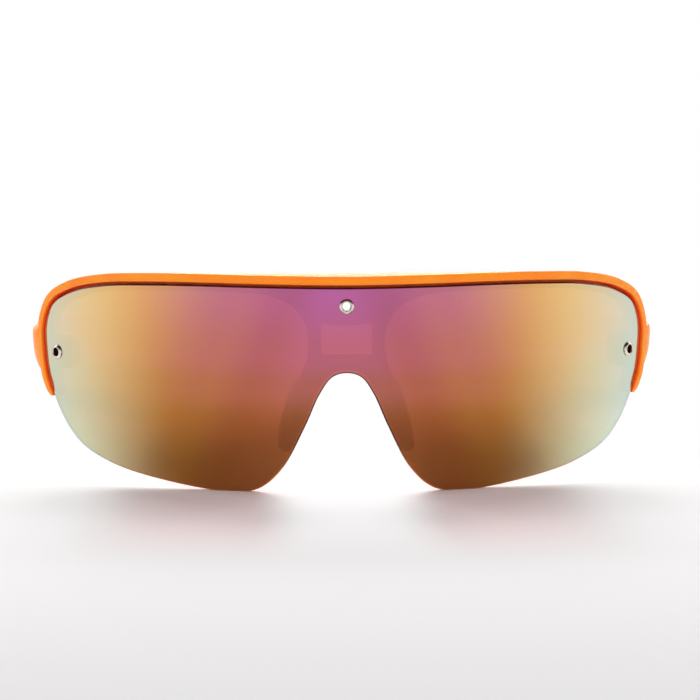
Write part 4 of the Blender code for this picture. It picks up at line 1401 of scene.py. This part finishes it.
def metal(name, bright, tarnish, roughness):
    """Metal with fine turning marks and dulled patches."""
    made, tree, shader, place = new_finish(name)
    dulled = patches(tree, place, *DULLED)
    marks = grain(tree, place, *TURNING_MARKS)
    rough = changed(tree, roughness, (dulled, DULLED_CHANGE), (marks, TURNING_CHANGE))
    shade(tree, shader, paint(tree, dulled, bright, tarnish), rough, METAL)
    relief(tree, shader, marks, TURNING_DEPTH)
    return made


def bright_metal(look):
    """The plated steel of rivets, washers, hinges and screws."""
    return metal("bright_plated_steel", look.bright, look.tarnish, look.roughness)


def bore_shade(look):
    """The inside of a rivet's bore, darkened and browned as painted shade of the hollow and its dark
    reflections.
    """
    return metal("painted_bore_shade", look.bore, look.bore_deep_shade, BORE_ROUGHNESS)


def soft_rubber(look):
    """Soft matt rubber with a fine skin and a little bloom."""
    made, tree, shader, place = new_finish("soft_matt_rubber")
    bloom = patches(tree, place, *BLOOM)
    rough = changed(tree, look.roughness, (bloom, BLOOM_CHANGE))
    shade(tree, shader, paint(tree, bloom, look.colour, look.bloom), rough, RUBBER)
    relief(tree, shader, grain(tree, place, *SKIN_MARKS), SKIN_DEPTH)
    return made


# Operators for the pieces


class SUNGLASSES_OT_lens(bpy.types.Operator):
    """Builds the shield lens with its mirror coat"""

    bl_idname = "sunglasses.lens"
    bl_label = "Shield lens"

    def execute(self, context):
        look = context.scene.lens_settings
        sides = context.scene.metal_settings.sides
        finishes = [mirror_coat(look), polished_edge(look), tinted_back(look)]
        piece("shield_lens", lens_solid(look, sides), "front", finishes, "lens")
        return {"FINISHED"}


class SUNGLASSES_OT_front(bpy.types.Operator):
    """Builds the orange front moulding"""

    bl_idname = "sunglasses.front"
    bl_label = "Front moulding"

    def execute(self, context):
        scene = context.scene
        look = scene.moulding_settings
        solid = front_solid(look, scene.lens_settings.facet, scene.metal_settings.sides)
        piece("front_moulding", solid, "front", [satin_orange(look)], "frame_front")
        return {"FINISHED"}


class SUNGLASSES_OT_temples(bpy.types.Operator):
    """Builds both temples"""

    bl_idname = "sunglasses.temples"
    bl_label = "Temples"

    def execute(self, context):
        look = context.scene.moulding_settings
        finish = satin_orange(look)
        for side in SIDES:
            solid = on_side(temple_solid(look), side)
            body = "temple_" + side
            piece("arm_" + side, solid, body, [finish], body)
        return {"FINISHED"}


class SUNGLASSES_OT_pads(bpy.types.Operator):
    """Builds the soft nose pads"""

    bl_idname = "sunglasses.pads"
    bl_label = "Nose pads"

    def execute(self, context):
        finish = soft_rubber(context.scene.rubber_settings)
        crease = SOFT_CREASE_ANGLE
        for side in SIDES:
            solid = on_side(pad_solid(), side)
            piece("soft_pad_" + side, solid, "front", [finish], "nose_pad_" + side, crease)
        return {"FINISHED"}


class SUNGLASSES_OT_rivets(bpy.types.Operator):
    """Builds the hollow rivets and their washers"""

    bl_idname = "sunglasses.rivets"
    bl_label = "Rivets and washers"

    def execute(self, context):
        look = context.scene.metal_settings
        finishes = [bright_metal(look), bore_shade(look)]
        crease = SOFT_CREASE_ANGLE
        for side, place in rivet_places().items():
            stand = frame_on_wrap(*place)
            rivet = placed(rivet_solid(side, look.sides), stand)
            piece("rivet_" + side, rivet, "front", finishes, "eyelet_" + side, crease)
            washer = placed(washer_solid(side, look), stand)
            stands_for = "eyelet_washer_" + side
            piece("washer_" + side, washer, "front", finishes[:1], stands_for)
        return {"FINISHED"}


class SUNGLASSES_OT_hinges(bpy.types.Operator):
    """Builds both hinges with their screws"""

    bl_idname = "sunglasses.hinges"
    bl_label = "Hinges"

    def execute(self, context):
        look = context.scene.metal_settings
        finish = [bright_metal(look)]
        stand = Matrix.Translation(hinge_axis())
        halves = (("frame", (-1, 1), -1, FRAME_LEAF_LENGTH), ("temple", (0,), 1, TEMPLE_LEAF_LENGTH))
        for side in SIDES:
            pin = on_side(placed(hinge_screw_solid(look), stand), side)
            piece("pin_" + side, pin, "front", finish, "hinge_screw_" + side)
            for owner, levels, way, run in halves:
                body = "front" if owner == "frame" else "temple_" + side
                leaf = on_side(placed(leaf_solid(levels, way, run, look), stand), side)
                stands_for = f"{owner}_leaf_{side}"
                piece(f"{owner}_plate_{side}", leaf, body, finish, stands_for)
                for level, along, up in leaf_screw_spots(way, run):
                    screw = placed(leaf_screw_solid(look), stand @ leaf_screw_matrix(along, up))
                    name = f"{owner}_screw_{level}_{side}"
                    stands_for = f"{owner}_leaf_screw_{level}_{side}"
                    piece(name, on_side(screw, side), body, finish, stands_for)
        return {"FINISHED"}


# Stage: floor, surround, lamps and camera


def ray_shares(tree):
    """1 for a camera ray, and 1 for a ray that comes off a mirror or through glass."""
    path = add(tree, "ShaderNodeLightPath")
    bounced = calc(tree, "MAXIMUM", path.outputs["Is Glossy Ray"], path.outputs["Is Transmission Ray"])
    return path.outputs["Is Camera Ray"], bounced


def floor_finish(look):
    """A pale floor that keeps shadows round the glasses and runs into white behind and around them, with
    painted shade far in front and at the sides, a painted warm tint in the glasses' shadow and painted light
    that lifts that shadow.
    """
    made, tree, shader, place = new_finish("pale_floor")
    across, depth, _ = split(tree, place)
    aside = calc(tree, "ABSOLUTE", across)
    runs = {name: spread(tree, depth, *run) for name, run in FLOOR_DEPTH_RUNS.items()}
    runs.update({name: spread(tree, aside, *run) for name, run in FLOOR_SIDE_RUNS.items()})
    # Painted shade: darker far in front and a little at the sides, for the lamps' falloff
    near = calc(tree, "MULTIPLY", runs["brightened"], runs["dimmed"])
    shadow = [runs["shadow_" + name] for name in ("within", "beyond", "begun", "ended")]
    tone = paint(tree, near, look.floor, look.near_floor)
    # Painted shadow tint where light through the lens reddens the glasses' shadow
    tone = paint(tree, chain(tree, "MULTIPLY", *shadow), tone, look.warm_shadow_tint)
    shade(tree, shader, tone, FLOOR_ROUGHNESS, FLOOR)
    # Painted light: white mixed in for camera rays lifts the glasses' shadow at the sides and under the
    # notch
    lift = calc(tree, "MAXIMUM", runs["lifted_outside"], runs["lifted_inside"])
    lift = calc(tree, "MULTIPLY", lift, runs["lifted"])
    clear = chain(tree, "MAXIMUM", runs["behind"], runs["beside"], runs["before"], lift)
    away = add(tree, "ShaderNodeVectorMath", ((0, place),), operation="LENGTH").outputs["Value"]
    seen, bounced = ray_shares(tree)
    around_far = calc(tree, "MULTIPLY", bounced, spread(tree, away, *FLOOR_FAR_RUN))
    white = calc(tree, "MAXIMUM", calc(tree, "MULTIPLY", seen, clear), around_far)
    glow = add(tree, "ShaderNodeEmission", (("Color", opaque(WHITE)), ("Strength", 1.0)))
    mixed = add(tree, "ShaderNodeMixShader", enumerate((white, shader.outputs[0], glow.outputs[0])))
    feed(tree, tree.nodes["Material Output"], (("Surface", mixed.outputs[0]),))
    return made


def add_floor(look):
    """The floor, a hair below the glasses."""
    floor = bmesh.new()
    corners = ((-1, -1), (1, -1), (1, 1), (-1, 1))
    spots = [(x * FLOOR_REACH, y * FLOOR_REACH, -FLOOR_DROP) for x, y in corners]
    floor.faces.new([floor.verts.new(spot) for spot in spots])
    made = as_object("pale_floor", floor)
    made.data.materials.append(floor_finish(look))


def add_world(look):
    """The white surround, which is dimmer in what it lights and overhead in reflections."""
    world = bpy.data.worlds.new("white_surround")
    world.use_nodes = True
    tree = world.node_tree
    seen, bounced = ray_shares(tree)
    _, _, up = split(tree, add(tree, "ShaderNodeTexCoord").outputs["Generated"])
    ceiling = spread(tree, up, *CEILING_SPAN, 1.0, look.ceiling)
    unseen = spread(tree, bounced, 0.0, 1.0, look.sky, ceiling, smooth=False)
    strength = calc(tree, "MAXIMUM", seen, unseen)
    feed(tree, tree.nodes["Background"], (("Color", opaque(WHITE)), ("Strength", strength)))
    bpy.context.scene.world = world


def add_lamp(name, power, azimuth, elevation, distance, width, height, lights, shows):
    """A soft oblong lamp on an arc round the glasses, aimed at them; azimuth 0 is straight behind them."""
    lamp = bpy.data.lights.new(name, "AREA")
    lamp.energy = power
    lamp.shape = "RECTANGLE"
    lamp.size = width
    lamp.size_y = height
    level = math.cos(elevation)
    away = Vector((math.sin(azimuth) * level, math.cos(azimuth) * level, math.sin(elevation)))
    place = Vector(LAMP_AIM) + away * distance
    made = linked(name, lamp)
    made.matrix_world = Matrix.Translation(place) @ (-away).to_track_quat("-Z", "Y").to_matrix().to_4x4()
    made.visible_diffuse = lights
    made.visible_glossy = shows


def add_camera():
    """The camera at the photograph's angle, with its framing."""
    datum = on_wrap(0.0, CAMERA_DATUM_HEIGHT, 0.0).y
    target = Vector(CAMERA_TARGET) + Vector((0.0, datum, 0.0))
    across, ahead = math.sin(CAMERA_AZIMUTH), math.cos(CAMERA_AZIMUTH)
    level = math.cos(CAMERA_ELEVATION)
    back = Vector((across * level, -ahead * level, math.sin(CAMERA_ELEVATION)))
    right = Vector((ahead, across, 0.0))
    up = back.cross(right)
    sideways = right * math.cos(CAMERA_ROLL) + up * math.sin(CAMERA_ROLL)
    upward = up * math.cos(CAMERA_ROLL) - right * math.sin(CAMERA_ROLL)
    view = bpy.data.cameras.new("photo_view")
    view.sensor_width = SENSOR_WIDTH
    view.lens = FOCAL_PIXELS * SENSOR_WIDTH / PHOTO_WIDTH
    view.shift_y = SHIFT_PIXELS / PHOTO_WIDTH
    view.clip_start = CAMERA_CLIP
    made = linked("photo_view", view)
    turn = Matrix((sideways, upward, back)).transposed().to_4x4()
    made.matrix_world = Matrix.Translation(target + back * CAMERA_DISTANCE) @ turn
    bpy.context.scene.camera = made


class SUNGLASSES_OT_stage(bpy.types.Operator):
    """Sets the floor, lamps, world and camera"""

    bl_idname = "sunglasses.stage"
    bl_label = "Stage"

    def execute(self, context):
        look = context.scene.stage_settings
        context.scene.view_settings.view_transform = "Standard"
        add_floor(look)
        add_world(look)
        for name, group, part, azimuth, elevation, *rest in LAMPS:
            power = getattr(look, group) * part
            add_lamp(name, power, math.radians(azimuth), math.radians(elevation), *rest)
        add_camera()
        return {"FINISHED"}


# Classes, and what registers and runs them


SETTINGS = {
    "lens_settings": LensSettings,
    "moulding_settings": MouldingSettings,
    "metal_settings": MetalSettings,
    "rubber_settings": RubberSettings,
    "stage_settings": StageSettings,
}
OPERATORS = (
    SUNGLASSES_OT_lens,
    SUNGLASSES_OT_front,
    SUNGLASSES_OT_temples,
    SUNGLASSES_OT_pads,
    SUNGLASSES_OT_rivets,
    SUNGLASSES_OT_hinges,
    SUNGLASSES_OT_stage,
)


class SUNGLASSES_PT_pieces(bpy.types.Panel):
    """Lists the settings and the pieces"""

    bl_idname = "SUNGLASSES_PT_pieces"
    bl_label = "Wraparound Sunglasses"
    bl_space_type = "VIEW_3D"
    bl_region_type = "UI"
    bl_category = "Sunglasses"

    def draw(self, context):
        for operator in OPERATORS:
            self.layout.operator(operator.bl_idname)
        for name, group in SETTINGS.items():
            box = self.layout.box()
            box.label(text=group.__doc__)
            for key in group.__annotations__:
                box.prop(getattr(context.scene, name), key)


def register():
    """Registers the settings, operators and panel."""
    for group in SETTINGS.values():
        bpy.utils.register_class(group)
    for name, group in SETTINGS.items():
        setattr(bpy.types.Scene, name, PointerProperty(type=group))
    for operator in OPERATORS:
        bpy.utils.register_class(operator)
    bpy.utils.register_class(SUNGLASSES_PT_pieces)


def unregister():
    """Takes the panel, operators and settings out again."""
    bpy.utils.unregister_class(SUNGLASSES_PT_pieces)
    for operator in reversed(OPERATORS):
        bpy.utils.unregister_class(operator)
    for name in SETTINGS:
        delattr(bpy.types.Scene, name)
    for group in reversed(SETTINGS.values()):
        bpy.utils.unregister_class(group)


def main():
    """Builds every piece and the stage."""
    register()
    bpy.ops.sunglasses.lens()
    bpy.ops.sunglasses.front()
    bpy.ops.sunglasses.temples()
    bpy.ops.sunglasses.pads()
    bpy.ops.sunglasses.rivets()
    bpy.ops.sunglasses.hinges()
    bpy.ops.sunglasses.stage()


if __name__ == "__main__":
    main()
